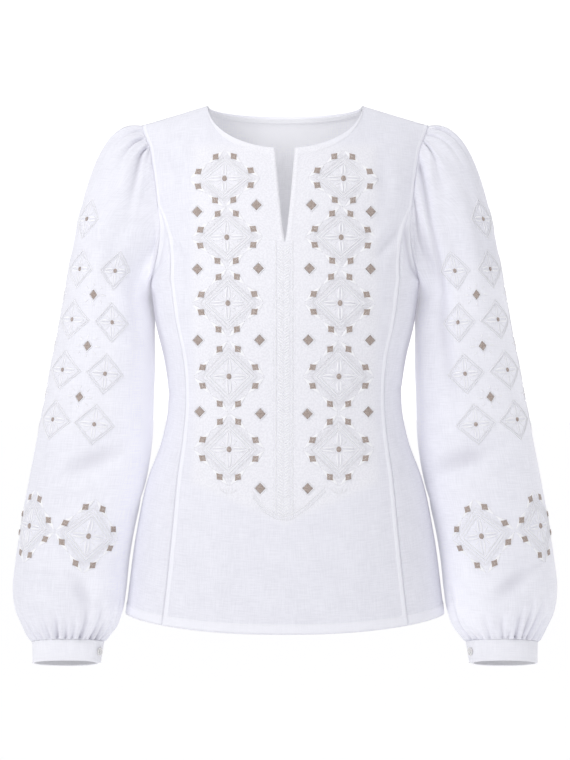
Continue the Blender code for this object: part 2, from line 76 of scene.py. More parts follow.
# %% A socket that can be added and multiplied
class Wire:
    """An output socket of a node tree. Operators add Math nodes; colours go through between."""

    def __init__(self, tree, socket=None):
        self.tree, self.socket = tree, socket

    def node(self, kind, settings=None, output=0, **values):
        """Adds a node with its settings, then the values or links of its named sockets; two
        underscores and a number pick a socket by its place."""
        made = self.tree.nodes.new(kind)
        for key, value in (settings or {}).items():
            setattr(made, key, value)
        for key, value in values.items():
            place = made.inputs[int(key[2:])] if key.startswith("__") else made.inputs[key]
            if isinstance(value, Wire):
                self.tree.links.new(value.socket, place)
            else:
                place.default_value = value
        return Wire(self.tree, made.outputs[output])

    def beside(self, output):
        """Another output of the same node."""
        return Wire(self.tree, self.socket.node.outputs[output])

    def stored(self, name):
        """A value that a piece holds for each of its points, by its name."""
        return self.node("ShaderNodeAttribute", {"attribute_name": name}, output=2)

    def math(self, operation, *values):
        sockets = {f"__{i}": value for i, value in enumerate(values)}
        return self.node("ShaderNodeMath", {"operation": operation}, **sockets)

    def __add__(self, other):
        return self.math("ADD", self, other)

    def __mul__(self, other):
        return self.math("MULTIPLY", self, other)

    def sine(self):
        return self.math("SINE", self)

    def step(self, low, high, start=0.0, end=1.0):
        """start below low and end above high, with a smooth climb between."""
        return self.node("ShaderNodeMapRange", {"interpolation_type": "SMOOTHSTEP"},
                         Value=self, __1=low, __2=high, __3=start, __4=end)

    def between(self, dark, light):
        """A colour between two colours, by this share: each a wire or a plain colour."""
        dark, light = (c if isinstance(c, Wire) else (*c, 1) for c in (dark, light))
        return self.node("ShaderNodeMix", {"data_type": "RGBA"}, 2, __0=self, __6=dark, __7=light)

    def feed(self, shader, key):
        """Links this socket to one of a shader's inputs."""
        self.tree.links.new(self.socket, shader.inputs[key])


def new_finish(name, constants):
    """A material, its shader and a bare wire, with constants set on the shader's own sockets."""
    material = bpy.data.materials.new(name)
    material.use_nodes = True
    shader = material.node_tree.nodes["Principled BSDF"]
    for key, value in constants.items():
        shader.inputs[key].default_value = value
    return material, shader, Wire(material.node_tree)


# %% [markdown]
# ## The camera, the floor and the light
# A garment is best seen from the front, at its own height, through a long lens, so that nothing
# looks stretched. The floor is plain and pale and far below, as it is under a shirt that hangs at
# shoulder height. White cloth on white needs light that comes mostly from one side: a broad lamp
# high on the left shows the threads, a weaker one on the right keeps the far sleeve from going
# grey, and the pale room fills the shadows.

# %% Camera
CAMERA_DISTANCE = 3.0
CAMERA_HEIGHT = -0.329
LENS = 118.4  # mm, on a sensor whose long side is 36 mm

eye = bpy.data.cameras.new("camera")
eye.lens, eye.sensor_width = LENS, 36.0
camera = bpy.data.objects.new("camera", eye)
camera.location = (0, -CAMERA_DISTANCE, CAMERA_HEIGHT)
camera.rotation_euler = (math.pi / 2, 0, 0)
bpy.context.scene.collection.objects.link(camera)
bpy.context.scene.camera = camera
bpy.context.scene.view_settings.view_transform = "Standard"
print("camera looks at height", CAMERA_HEIGHT)

# %% Floor and surroundings
FLOOR_HEIGHT, FLOOR_REACH = -1.35, 60.0
FLOOR_COLOUR = (0.97, 0.97, 0.975, 1)
FLOOR_CORNERS = [(x * FLOOR_REACH, y * FLOOR_REACH, FLOOR_HEIGHT)
                 for x, y in ((-1, -1), (1, -1), (1, 1), (-1, 1))]
floor_mesh = bpy.data.meshes.new("floor")
floor_mesh.from_pydata(FLOOR_CORNERS, [], [(0, 1, 2, 3)])
floor_mesh.materials.append(new_finish("pale floor", {
    "Base Color": FLOOR_COLOUR, "Roughness": 0.9,
    "Emission Color": FLOOR_COLOUR, "Emission Strength": 0.24,
})[0])
floor = bpy.data.objects.new("floor", floor_mesh)
bpy.context.scene.collection.objects.link(floor)

# the walls in front are darker than the wall behind, and the ceiling lies between them
ROOM_LIGHT, WALL_LIGHT, WALL_EDGES, CEILING_SHARE = 0.58, 1.17, (0.40, 0.85), 0.70
surroundings = bpy.data.worlds.new("pale room")
surroundings.use_nodes = True
sky = surroundings.node_tree.nodes["Background"]
sky.inputs["Color"].default_value = (0.99, 0.99, 1.0, 1)
ahead = Wire(surroundings.node_tree).node("ShaderNodeTexCoord")
upwards = ahead.node("ShaderNodeSeparateXYZ", output=2, Vector=ahead)
bright = ahead.math("MAXIMUM", upwards.beside(1), upwards * CEILING_SHARE)
bright.step(*WALL_EDGES, ROOM_LIGHT, WALL_LIGHT).feed(sky, "Strength")
bpy.context.scene.world = surroundings
print("floor at", FLOOR_HEIGHT, "and room from", ROOM_LIGHT, "to", WALL_LIGHT)

# %% Lamps
# name, power, size, place and goal of each square lamp
LAMPS = (
    ("high lamp", 9.6, 0.8, Vector((-1.00, -1.15, 0.58)), Vector((0.0, 0.0, -0.28))),
    ("fill lamp", 4.1, 1.2, Vector((1.25, -0.80, 1.35)), Vector((0.0, 0.0, -0.35))),
)
for name, power, size, place, goal in LAMPS:
    light = bpy.data.lights.new(name, "AREA")
    light.shape, light.size, light.energy = "SQUARE", size, power
    lamp = bpy.data.objects.new(name, light)
    lamp.location = place
    lamp.rotation_euler = (goal - place).to_track_quat("-Z", "Y").to_euler()
    bpy.context.scene.collection.objects.link(lamp)

# %% [markdown]
# ## The form under the cloth
# A worn shirt takes its shape from a body. Here the body is a set of level sections: each is a
# superellipse, an ellipse with fuller corners. Above the underarm the sections rise and thin out
# into the sloping shoulder line. The solids in the frame were cut from the same form, so the same
# numbers put the fine cloth exactly on them.

# %% The torso's measures, in metres
NECK_HALF_WIDTH = 0.0924
FRONT_NECK_DROP, BACK_NECK_DROP = 0.0580, 0.0095
SHOULDER_HALF_WIDTH, SHOULDER_DROP = 0.1720, 0.0242
SHOULDER_SLOPE = SHOULDER_DROP / (SHOULDER_HALF_WIDTH - NECK_HALF_WIDTH)
FRONT_CREST, BACK_CREST = 1.6, 2.0
UNDERARM, SIDE_HEM, HEM_DIP = -0.2100, -0.6070, 0.0140
SECTION_POWER = 2.3
SEAM_GAP, ARMHOLE_GAP = 0.0001, -0.0004

# height, half width, front depth, back depth, and the front seam's distance from the centre
TRUNK = np.array([
    (-0.630, 0.1935, 0.1370, 0.1280, 0.1450),
    (-0.580, 0.1872, 0.1340, 0.1250, 0.1385),
    (-0.509, 0.1776, 0.1270, 0.1180, 0.1312),
    (-0.449, 0.1650, 0.1180, 0.1050, 0.1255),
    (-0.400, 0.1472, 0.1085, 0.0900, 0.1195),
    (-0.353, 0.1395, 0.1045, 0.0820, 0.1165),
    (-0.305, 0.1445, 0.1130, 0.0860, 0.1190),
    (-0.260, 0.1545, 0.1230, 0.0940, 0.1275),
    (-0.210, 0.1610, 0.1220, 0.1000, 0.1340),
])
HEIGHT, HALF_WIDTH, FRONT_DEPTH, BACK_DEPTH, SEAM_X = range(5)

# turn (0 at the shoulder tip, 1 at the underarm), front edge and back edge in degrees
ARMHOLE = np.array([
    (0.00, 0.0, 0.0), (0.12, 6.0, 5.0), (0.20, 12.5, 9.5), (0.26, 17.5, 12.5),
    (0.35, 20.5, 15.5), (0.43, 22.5, 17.5), (0.53, 24.5, 19.0), (0.62, 26.0, 19.5),
    (0.70, 24.0, 18.5), (0.79, 19.0, 15.0), (0.90, 9.5, 8.0), (1.00, 0.0, 0.0),
])
SEAM_JOIN, SEAM_SWING, SEAM_DIP = 0.450, 2.2, 0.0015


def smooth(at, xs, ys):
    """A cubic curve through the points (xs, ys), each point's slope taken from its neighbours."""
    slopes = np.gradient(ys, xs)
    i = np.clip(np.searchsorted(xs, at) - 1, 0, len(xs) - 2)
    width = xs[i + 1] - xs[i]
    u = (at - xs[i]) / width
    start = ys[i] * (1 + 2 * u) + slopes[i] * width * u
    end = ys[i + 1] * (3 - 2 * u) + slopes[i + 1] * width * (u - 1)
    return start * (1 - u) ** 2 + end * u**2


def trunk(column, height):
    """A column of the trunk's table at any height."""
    return smooth(height, TRUNK[:, HEIGHT], TRUNK[:, column])


print("waist, all round:", round(4 * trunk(HALF_WIDTH, -0.353), 3), "m, as a rough box")


# %% Level sections above the underarm
def shoulder_height(x):
    """The shoulder line's height over x: sloping outside the neck, one flat arch inside it."""
    x = np.abs(x)
    arch = NECK_HALF_WIDTH * (1 - (x / NECK_HALF_WIDTH) ** 2) / 2
    return SHOULDER_SLOPE * np.where(x < NECK_HALF_WIDTH, arch, NECK_HALF_WIDTH - x)


def level_of(x, height):
    """The level of a point: 0 at the underarm, 1 on the shoulder line above that point."""
    return (height - UNDERARM) / (shoulder_height(x) - UNDERARM)


def upper_section(level, front):
    """Half width and depth at a level above the underarm: the depth falls away to nothing on
    the shoulder line, as a quarter of a superellipse."""
    level = np.clip(level, 0, 1)
    widest = trunk(HALF_WIDTH, UNDERARM)
    half_width = widest + (SHOULDER_HALF_WIDTH - widest) * level**2
    crest = FRONT_CREST if front else BACK_CREST
    depth = trunk(FRONT_DEPTH if front else BACK_DEPTH, UNDERARM)
    return half_width, depth * (1 - level**crest) ** (1 / crest)


def section_depth(x, half_width, depth):
    """The superellipse: how far the cloth stands from the side seam's plane at x."""
    inside = np.clip(1 - np.abs(x / half_width) ** SECTION_POWER, 0, 1)
    return depth * inside ** (1 / SECTION_POWER)


def upper_point(x, level, front):
    """Points of the form above the underarm."""
    half_width, depth = upper_section(level, front)
    y = section_depth(x, half_width, depth) * (-1 if front else 1)
    height = UNDERARM + (shoulder_height(x) - UNDERARM) * level
    return np.stack([x, y, height], axis=-1)


def turn_of(level):
    """The armhole's turn at a level: 0 at the shoulder tip, 1 at the underarm."""
    return np.arccos(np.clip(2 * level - 1, -1, 1)) / math.pi


def armhole_x(level, front):
    """The armhole edge's x at a level, from its angle round the section there."""
    angle = np.radians(smooth(turn_of(level), ARMHOLE[:, 0], ARMHOLE[:, 1 if front else 2]))
    return upper_section(level, front)[0] * np.cos(angle) ** (2 / SECTION_POWER)


def front_seam_x(level):
    """The front seam above the underarm: a power curve that swings out to the armhole."""
    low, high = trunk(SEAM_X, UNDERARM), armhole_x(SEAM_JOIN, True)
    share = level / SEAM_JOIN
    return low + (high - low) * share**SEAM_SWING - SEAM_DIP * np.sin(math.pi * share)


print("shoulder tips:", round(2 * SHOULDER_HALF_WIDTH, 3), "m apart")


# %% The trunk below the underarm
def trunk_row(share, angle):
    """Points of the trunk at a share of the way from hem to underarm, at angles from the centre
    front (0) round the side seam (90) to the centre back (180 degrees)."""
    hem = SIDE_HEM - HEM_DIP * np.cos(angle) ** 2
    height = hem + (UNDERARM - hem) * share
    side, ahead = np.sin(angle), np.cos(angle)
    depth = np.where(ahead > 0, trunk(FRONT_DEPTH, height), trunk(BACK_DEPTH, height))
    power = 2 / SECTION_POWER
    x = trunk(HALF_WIDTH, height) * np.abs(side) ** power
    y = -depth * np.sign(ahead) * np.abs(ahead) ** power
    return np.stack([x, y, height], axis=-1)


def seam_angle(height):
    """The angle of the front seam round the trunk."""
    share = trunk(SEAM_X, height) / trunk(HALF_WIDTH, height)
    return np.arcsin(share ** (SECTION_POWER / 2))


def torso_front(x, z):
    """The front of the form over x and z: its points, and its outward normals taken from
    small steps in x and z."""
    def point(x, z):
        level = level_of(x, z)
        width, depth = upper_section(level, True)
        low = z < UNDERARM
        width = np.where(low, trunk(HALF_WIDTH, z), width)
        depth = np.where(low, trunk(FRONT_DEPTH, z), depth)
        return np.stack([x, -section_depth(x, width, depth), z], axis=-1)

    step = 0.0005
    here = point(x, z)
    normal = np.cross(point(x + step, z) - here, point(x, z + step) - here)
    return here, normal / np.linalg.norm(normal, axis=-1)[..., None]


print("bust point:", torso_front(np.array(0.0), np.array(-0.26))[0].round(4))

# %% [markdown]
# ## The panels as grids of points
# A tailor cuts a front, two side fronts and a back, and sews them edge to edge. Each panel here
# is a grid: rows run from the hem to the top, columns from the middle to the seam, both close
# enough together to carry small folds. The front's inner edge parts at the slit.

# %% Half a front or back above the underarm
NECK_COLUMNS, SHOULDER_COLUMNS = 33, 26
LOW_ROWS, SEAM_ROWS, HIGH_ROWS, BACK_ROWS = 108, 36, 44, 84
SIDE_COLUMNS = 26
SLIT_HALF_WIDTH, SLIT_CURVE, SLIT_END = 0.0113, 0.75, 0.2749
COLUMN_SPREAD = 1.5
SEAM_STRIP = 0.0015
ACROSS = np.linspace(0, 1, NECK_COLUMNS + SHOULDER_COLUMNS + 1)


def slit_half_width(level):
    """Half the slit's opening at a level of the centre line: a power curve from its tip up."""
    top = level_of(0.0, -FRONT_NECK_DROP)
    share = np.maximum(0, (level / top - SLIT_END) / (1 - SLIT_END))
    return SLIT_HALF_WIDTH * share**SLIT_CURVE


def half_panel(front, rows, edge_x):
    """Half a front or back above the underarm. Its top edge is the neckline, an ellipse, and
    then the shoulder seam; its rows are even shares of the way up to that edge."""
    drop = FRONT_NECK_DROP if front else BACK_NECK_DROP
    slit = SLIT_HALF_WIDTH if front else 0.0
    neck = slit + (NECK_HALF_WIDTH - slit) * np.sin(np.linspace(0, math.pi / 2, NECK_COLUMNS + 1))
    neck_z = -drop * np.sqrt(np.clip(1 - (neck / NECK_HALF_WIDTH) ** 2, 0, 1))
    shoulder = np.linspace(NECK_HALF_WIDTH, SHOULDER_HALF_WIDTH, SHOULDER_COLUMNS + 1)[1:]
    top_x = np.concatenate([neck, shoulder])
    top_level = np.concatenate([level_of(neck, neck_z), np.ones(SHOULDER_COLUMNS)])
    top_level[NECK_COLUMNS] = 1.0
    share = rows[:, None]
    level = top_level * share
    inner = slit_half_width(level[:, :1]) if front else 0.0
    angle = seam_angle(UNDERARM) if front else math.pi / 2
    low = (np.sin(ACROSS * angle) / np.sin(angle)) ** (2 / SECTION_POWER)
    high = (top_x - slit) / (edge_x(top_level) - slit)
    mix = low + (high - low) * share**COLUMN_SPREAD
    return upper_point(inner + (edge_x(level) - inner) * mix, level, front)


def flat_seam(points):
    """The last row drawn back by half a seam, with a narrow level strip next to it, so that the
    panel ends square at the shoulder seam."""
    side = np.sign(points[-3, -1, 1])
    edge, strip = points[-1].copy(), points[-1].copy()
    edge[NECK_COLUMNS:, 1] += side * SEAM_GAP / 2
    strip[NECK_COLUMNS:, 1] += side * SEAM_STRIP
    neck = slice(0, NECK_COLUMNS)
    strip[neck] += (points[-2, neck] - points[-1, neck]) * 0.4
    return np.concatenate([points[:-1], strip[None], edge[None]])


def seam_levels(count):
    """Levels of the rows between the underarm and the place where the front seam joins the
    armhole, the same on both sides of that seam."""
    turns = np.linspace(1, turn_of(SEAM_JOIN), count + 1)
    return (1 + np.cos(math.pi * turns)) / 2


# %% The three panels
def front_points():
    """Half the centre front, from the hem to the neckline and the shoulder seam."""
    gap = SEAM_GAP / 2 / trunk(HALF_WIDTH, UNDERARM)
    share = np.linspace(0, 1, LOW_ROWS + 1)[:-1, None]
    edge = seam_angle(SIDE_HEM + (UNDERARM - SIDE_HEM) * share) - gap
    below = trunk_row(share, ACROSS * edge)
    high = SEAM_JOIN + (1 - SEAM_JOIN) * np.sin(np.linspace(0, math.pi / 2, HIGH_ROWS))

    def edge_x(level):
        seam = front_seam_x(np.minimum(level, SEAM_JOIN))
        return np.where(level < SEAM_JOIN, seam, armhole_x(level, True)) - SEAM_GAP / 2

    above = half_panel(True, np.concatenate([seam_levels(SEAM_ROWS)[:-1], high]), edge_x)
    return np.concatenate([below, flat_seam(above)])


def back_points():
    """Half the back, from the centre line to the side seam, up to the back neckline."""
    edge = math.pi / 2 + SEAM_GAP / 2 / trunk(BACK_DEPTH, UNDERARM)
    share = np.linspace(0, 1, LOW_ROWS + 1)[:-1, None]
    below = trunk_row(share, math.pi - ACROSS * (math.pi - edge))
    rows = (1 - np.cos(np.linspace(0, math.pi, BACK_ROWS))) / 2
    above = half_panel(False, rows, lambda level: armhole_x(level, False))
    above[0, -1] = trunk_row(1.0, np.array([edge]))[0]
    return np.concatenate([below, flat_seam(above)])


def side_front_points():
    """A side front, from the front seam round to the side seam, ending in a point."""
    across = np.linspace(0, 1, SIDE_COLUMNS + 1)
    gap = SEAM_GAP / 2 / trunk(FRONT_DEPTH, UNDERARM)
    share = np.linspace(0, 1, LOW_ROWS + 1)[:-1, None]
    first = seam_angle(SIDE_HEM + (UNDERARM - SIDE_HEM) * share) + gap
    below = trunk_row(share, first + (math.pi / 2 - gap - first) * across)
    level = np.append(seam_levels(SEAM_ROWS)[:-1], SEAM_JOIN * 0.985)[:, None]
    half_width = upper_section(level, True)[0]
    edges = np.stack([front_seam_x(level) + SEAM_GAP / 2, armhole_x(level, True)])
    first, last = np.arcsin(np.minimum(1, edges / half_width) ** (SECTION_POWER / 2))
    angle = first + (np.minimum(last, math.pi / 2 - gap) - first) * across
    x = half_width * np.sin(angle) ** (2 / SECTION_POWER)
    return np.concatenate([below, upper_point(x, np.broadcast_to(level, x.shape), True)])


front_grid, side_grid, back_grid = front_points(), side_front_points(), back_points()
print("grids:", front_grid.shape, side_grid.shape, back_grid.shape)

# %% [markdown]
# ## Sleeves as grids of points
# A sleeve of this kind is cut wide, pleated into the armhole and gathered into the cuff, so it
# swells between the two. Its grid has rows that run down and columns that go all the way round,
# from the outer side through the front. The head is a fan of cubic curves from the armhole to
# the first level ring, and the rest is a stack of rings.

# %% The sleeve's measures
# height, inner and outer x, half depth, the centre's y, and the slope of the ring's plane
SLEEVE = np.array([
    (-0.235, 0.1625, 0.2660, 0.0600, 0.002, 0.00),
    (-0.260, 0.1580, 0.2705, 0.0610, 0.004, 0.00),
    (-0.300, 0.1565, 0.2790, 0.0620, 0.008, 0.00),
    (-0.353, 0.1580, 0.2890, 0.0630, 0.010, 0.00),
    (-0.401, 0.1595, 0.2985, 0.0640, 0.007, 0.02),
    (-0.449, 0.1660, 0.3070, 0.0650, -0.001, 0.04),
    (-0.500, 0.1768, 0.3155, 0.0665, -0.009, 0.07),
    (-0.545, 0.1840, 0.3215, 0.0670, -0.016, 0.10),
    (-0.580, 0.1883, 0.3240, 0.0650, -0.022, 0.13),
    (-0.605, 0.1931, 0.3200, 0.0590, -0.026, 0.16),
    (-0.622, 0.2003, 0.3125, 0.0490, -0.028, 0.19),
    (-0.6405, 0.2172, 0.3005, 0.0315, -0.030, 0.22),
])
RING_Z, INNER_X, OUTER_X, HALF_DEPTH, CENTRE_Y, PLANE_SLOPE = range(6)
HEAD_END, GATHER_START = SLEEVE[0, RING_Z], -0.560
SLEEVE_COLUMNS, HEAD_ROWS, TUBE_ROWS, GATHER_ROWS = 212, 50, 48, 42
PLEAT_SPAN = 0.040  # the pleated stretch of the armhole, on each side of the shoulder tip
PLEAT_TURN = 72.0  # and how many degrees of the sleeve it takes up
LEAVE_OUT, LEAVE_UP, LEAVE_ASIDE, LEAVE_REACH = (0.1, 1.0), (-1.0, 0.2), 0.5, 0.25
ARRIVE_REACH = (0.34, 0.50)
TURNS = np.linspace(0, 2 * math.pi, SLEEVE_COLUMNS, endpoint=False)


def run_lengths(points, axis=0):
    """How far along its run each point lies: the running sum of the steps between points."""
    steps = np.linalg.norm(np.diff(points, axis=axis), axis=-1)
    return np.cumsum(np.insert(steps, 0, 0.0, axis=axis), axis=axis)


def points_at(at, places, points):
    """The points of a run at any places on it, straight between its own points and places."""
    return np.stack([np.interp(at, places, row) for row in points.T], axis=-1)


def along_run(points, shares):
    """Points at shares of the length of a run of points."""
    length = run_lengths(points)
    return points_at(shares * length[-1], length, points)


def sleeve_ring(height, turns):
    """Rings of the sleeve below its head: ellipses in planes that tip forwards."""
    inner, outer, half_depth, y, slope = (
        smooth(-height, -SLEEVE[:, RING_Z], SLEEVE[:, column])
        for column in (INNER_X, OUTER_X, HALF_DEPTH, CENTRE_Y, PLANE_SLOPE)
    )
    ahead = -half_depth * np.sin(turns)
    x = (inner + outer) / 2 + (outer - inner) / 2 * np.cos(turns)
    return np.stack([x, y + ahead, height - slope * ahead], axis=-1)


def armhole_loop():
    """The armhole's edge, from the shoulder tip down the front to the underarm and up the back."""
    front_part = front_grid[LOW_ROWS + SEAM_ROWS :, -1][::-1]
    side_part = side_grid[LOW_ROWS:, -1][::-1]
    return np.concatenate([front_part, side_part, back_grid[LOW_ROWS:, -1]])


def sleeve_points():
    """The sleeve's smooth surface: in the head, each column is a cubic Bezier curve that leaves
    the armhole outwards and arrives along the tube; rings follow, down to the cuff."""
    loop = armhole_loop()
    span = PLEAT_SPAN / run_lengths(loop)[-1]
    degrees = np.degrees(TURNS)
    share = np.interp(degrees, (0, PLEAT_TURN, 360 - PLEAT_TURN, 360), (0, span, 1 - span, 1))
    start = along_run(loop, share)
    start[:, 0] += ARMHOLE_GAP
    end, below = sleeve_ring(HEAD_END, TURNS), sleeve_ring(HEAD_END - 0.01, TURNS)
    tip = (1 + np.cos(TURNS)) / 2
    out, up = (np.interp(tip, (0, 1), ends) for ends in (LEAVE_OUT, LEAVE_UP))
    leave = np.stack([out, -LEAVE_ASIDE * np.sin(TURNS), up], axis=-1)
    leave /= np.linalg.norm(leave, axis=1)[:, None]
    arrive = (below - end) / np.linalg.norm(below - end, axis=1)[:, None]
    chord = np.linalg.norm(end - start, axis=1)[:, None]
    second = start + leave * chord * LEAVE_REACH
    third = end - arrive * chord * np.interp(tip, (0, 1), ARRIVE_REACH)[:, None]
    s = (np.linspace(0, 1, HEAD_ROWS + 1) ** 1.35)[:, None, None]
    b = 1 - s
    head = start * b**3 + second * 3 * b**2 * s + third * 3 * b * s**2 + end * s**3
    tube = np.linspace(HEAD_END, GATHER_START, TUBE_ROWS + 1)[1:]
    turn = np.linspace(0, math.pi / 2, GATHER_ROWS + 1)[1:]
    last = SLEEVE[-1, RING_Z] + SEAM_GAP
    gathered = GATHER_START + (last - GATHER_START) * np.sin(turn)
    return np.concatenate([head, sleeve_ring(np.append(tube, gathered)[:, None], TURNS)])


def outward_normals(points, closed=True):
    """Unit normals of a grid, from its differences along and across; a tube wraps round."""
    along = np.gradient(points, axis=0)
    if closed:
        across = np.roll(points, -1, axis=1) - np.roll(points, 1, axis=1)
    else:
        across = np.gradient(points, axis=1)
    normal = np.cross(across, along)
    length = np.linalg.norm(normal, axis=-1)[..., None]
    return normal / np.maximum(length, 1e-12)


plain_sleeve = sleeve_points()
print("sleeve grid:", plain_sleeve.shape)

# %% [markdown]
# ## Creases placed one by one
# Cloth that is pleated or gathered into a seam leaves it in creases: each is deepest near the
# seam, widens and fades as it runs off, and no two are the same length. A crease here is a line
# on the sleeve along which the cloth sinks as a bell curve does, with a soft ridge on both sides.


# %% One crease as a bell-shaped trough along a line
def turn_between(turns, middle):
    """How far turns lie from a middle one: in degrees, the short way round."""
    return (turns - middle + 180) % 360 - 180


CREASE_RIDGE, RIDGE_AT, CREASE_FADE = 0.32, 2.2, 0.9


def crease_field(where, creases, radius):
    """How far creases push the cloth out. where holds degrees round the sleeve and metres along
    it; each crease has its turn at the seam, its turn and distance at its end, its bow, width
    and depth. Across it the cloth sinks as a pointed bell, exp(-|x|^1.5), with low ridges at
    two widths; along it the depth fades towards the end, and the width grows."""
    total = np.zeros(where.shape[:2])
    for start, end, length, bow, width, depth in creases:
        share = where[..., 1] / length
        path = start + (end - start) * share + bow * 4 * share * (1 - share)
        spread = width * (0.8 + 1.3 * np.clip(share, 0, 1))
        offset = np.radians(turn_between(where[..., 0], path)) * radius / spread
        offset = np.abs(offset)
        bell = np.exp(-(offset**1.5)) - CREASE_RIDGE * np.exp(-((offset - RIDGE_AT) ** 2))
        inside = np.clip((share + 0.12) / 0.12, 0, 1) * np.clip(1 - share, 0, 1) ** CREASE_FADE
        total -= depth * bell * inside
    return total


# %% [markdown]
# ### Pleats in the sleeve head
# Eight or nine small pleats take up the sleeve's extra width over the shoulder tip, half of them
# in front and half behind. From the armhole they run down the head. Two dozen gathers do the same
# above the cuff. The front ones are placed one by one, because no two sleeves pleat alike.

# %% Pleats and gathers of the sleeve
lengths = run_lengths(plain_sleeve)
from_cuff = lengths[-1] - lengths
ring_radius = np.linalg.norm(plain_sleeve - plain_sleeve.mean(axis=1, keepdims=True), axis=-1)
degrees_grid = np.broadcast_to(np.degrees(TURNS), lengths.shape)

# turn at the seam, turn and distance from it at the end, bow, width, depth
BACK_PLEATS = [
    (351, 355, 0.056, -3, 0.0029, 0.0034),
    (333, 341, 0.072, -4, 0.0031, 0.0042),
    (315, 322, 0.090, -3, 0.0031, 0.0044),
    (299, 297, 0.048, -1, 0.0027, 0.0034),
]
HEAD_PLEATS = {
    "right": [
        (17, 34, 0.065, 0, 0.0026, 0.0028),
        (38, 66, 0.062, -1, 0.0032, 0.0056),
        (62, 94, 0.066, 6, 0.0030, 0.0068),
        (71, 87, 0.022, 2, 0.0018, 0.0032),
    ],
    "left": [
        (10, 18, 0.085, 2, 0.0028, 0.0034),
        (28, 42, 0.075, 2, 0.0030, 0.0028),
        (48, 82, 0.065, 13, 0.0026, 0.0048),
        (82, 122, 0.098, 10, 0.0038, 0.0060),
        (108, 134, 0.045, 3, 0.0026, 0.0034),
    ],
}

# turn at the cuff, turn and distance from it at the end, bow, width, depth
BACK_GATHERS = [
    (186, 190, 0.028, 0, 0.0024, 0.0036),
    (201, 203, 0.038, 0, 0.0026, 0.0044),
    (215, 214, 0.026, 0, 0.0024, 0.0040),
    (229, 226, 0.044, -1, 0.0026, 0.0048),
    (243, 241, 0.030, 0, 0.0024, 0.0044),
    (257, 257, 0.024, 0, 0.0024, 0.0040),
    (271, 273, 0.036, 1, 0.0024, 0.0048),
    (286, 289, 0.028, 0, 0.0024, 0.0040),
    (301, 307, 0.046, 0, 0.0027, 0.0042),
    (317, 325, 0.034, 0, 0.0027, 0.0034),
    (335, 343, 0.050, 0, 0.0030, 0.0034),
    (353, 356, 0.028, 0, 0.0027, 0.0026),
]
CUFF_GATHERS = {
    "right": [
        (12, 4, 0.030, 0, 0.0026, 0.0024),
        (34, 20, 0.052, 0, 0.0026, 0.0032),
        (49, 37, 0.030, 0, 0.0026, 0.0026),
        (64, 61, 0.032, 0, 0.0024, 0.0030),
        (77, 79, 0.038, 0, 0.0022, 0.0052),
        (91, 90, 0.034, 0, 0.0022, 0.0044),
        (101, 101, 0.036, 0, 0.0020, 0.0042),
        (115, 113, 0.040, 0, 0.0023, 0.0062),
        (124, 122, 0.026, 0, 0.0018, 0.0034),
        (134, 130, 0.056, 0, 0.0024, 0.0058),
        (145, 138, 0.040, 0, 0.0023, 0.0064),
        (158, 150, 0.044, 0, 0.0022, 0.0048),
        (170, 162, 0.056, 0, 0.0024, 0.0060),
    ],
    "left": [
        (8, 6, 0.028, 0, 0.0024, 0.0030),
        (22, 18, 0.036, 0, 0.0024, 0.0034),
        (38, 32, 0.036, 0, 0.0023, 0.0046),
        (52, 43, 0.056, 0, 0.0023, 0.0056),
        (60, 59, 0.052, 0, 0.0021, 0.0058),
        (73, 70, 0.042, 0, 0.0022, 0.0058),
        (86, 78, 0.026, 0, 0.0021, 0.0042),
        (94, 92, 0.036, 0, 0.0022, 0.0050),
        (104, 103, 0.022, 0, 0.0022, 0.0026),
        (115, 111, 0.038, 0, 0.0024, 0.0034),
        (128, 128, 0.024, 0, 0.0024, 0.0024),
        (140, 142, 0.032, 0, 0.0026, 0.0026),
        (154, 157, 0.066, 0, 0.0026, 0.0044),
        (170, 172, 0.036, 0, 0.0026, 0.0030),
    ],
}
print("pleats and gathers of one sleeve:", len(HEAD_PLEATS["right"] + BACK_PLEATS),
      len(CUFF_GATHERS["right"] + BACK_GATHERS))

# %% [markdown]
# ### Soft folds where the arm bends
# Below the head the sleeve hangs in broad folds: long ones down from the shoulder, slanting ones
# at the elbow, a deep one under the arm, and faint level ones where its fullness rests above the
# cuff. Ten are the same on both sleeves, and each sleeve has its own besides. A depth below zero
# is a swell.

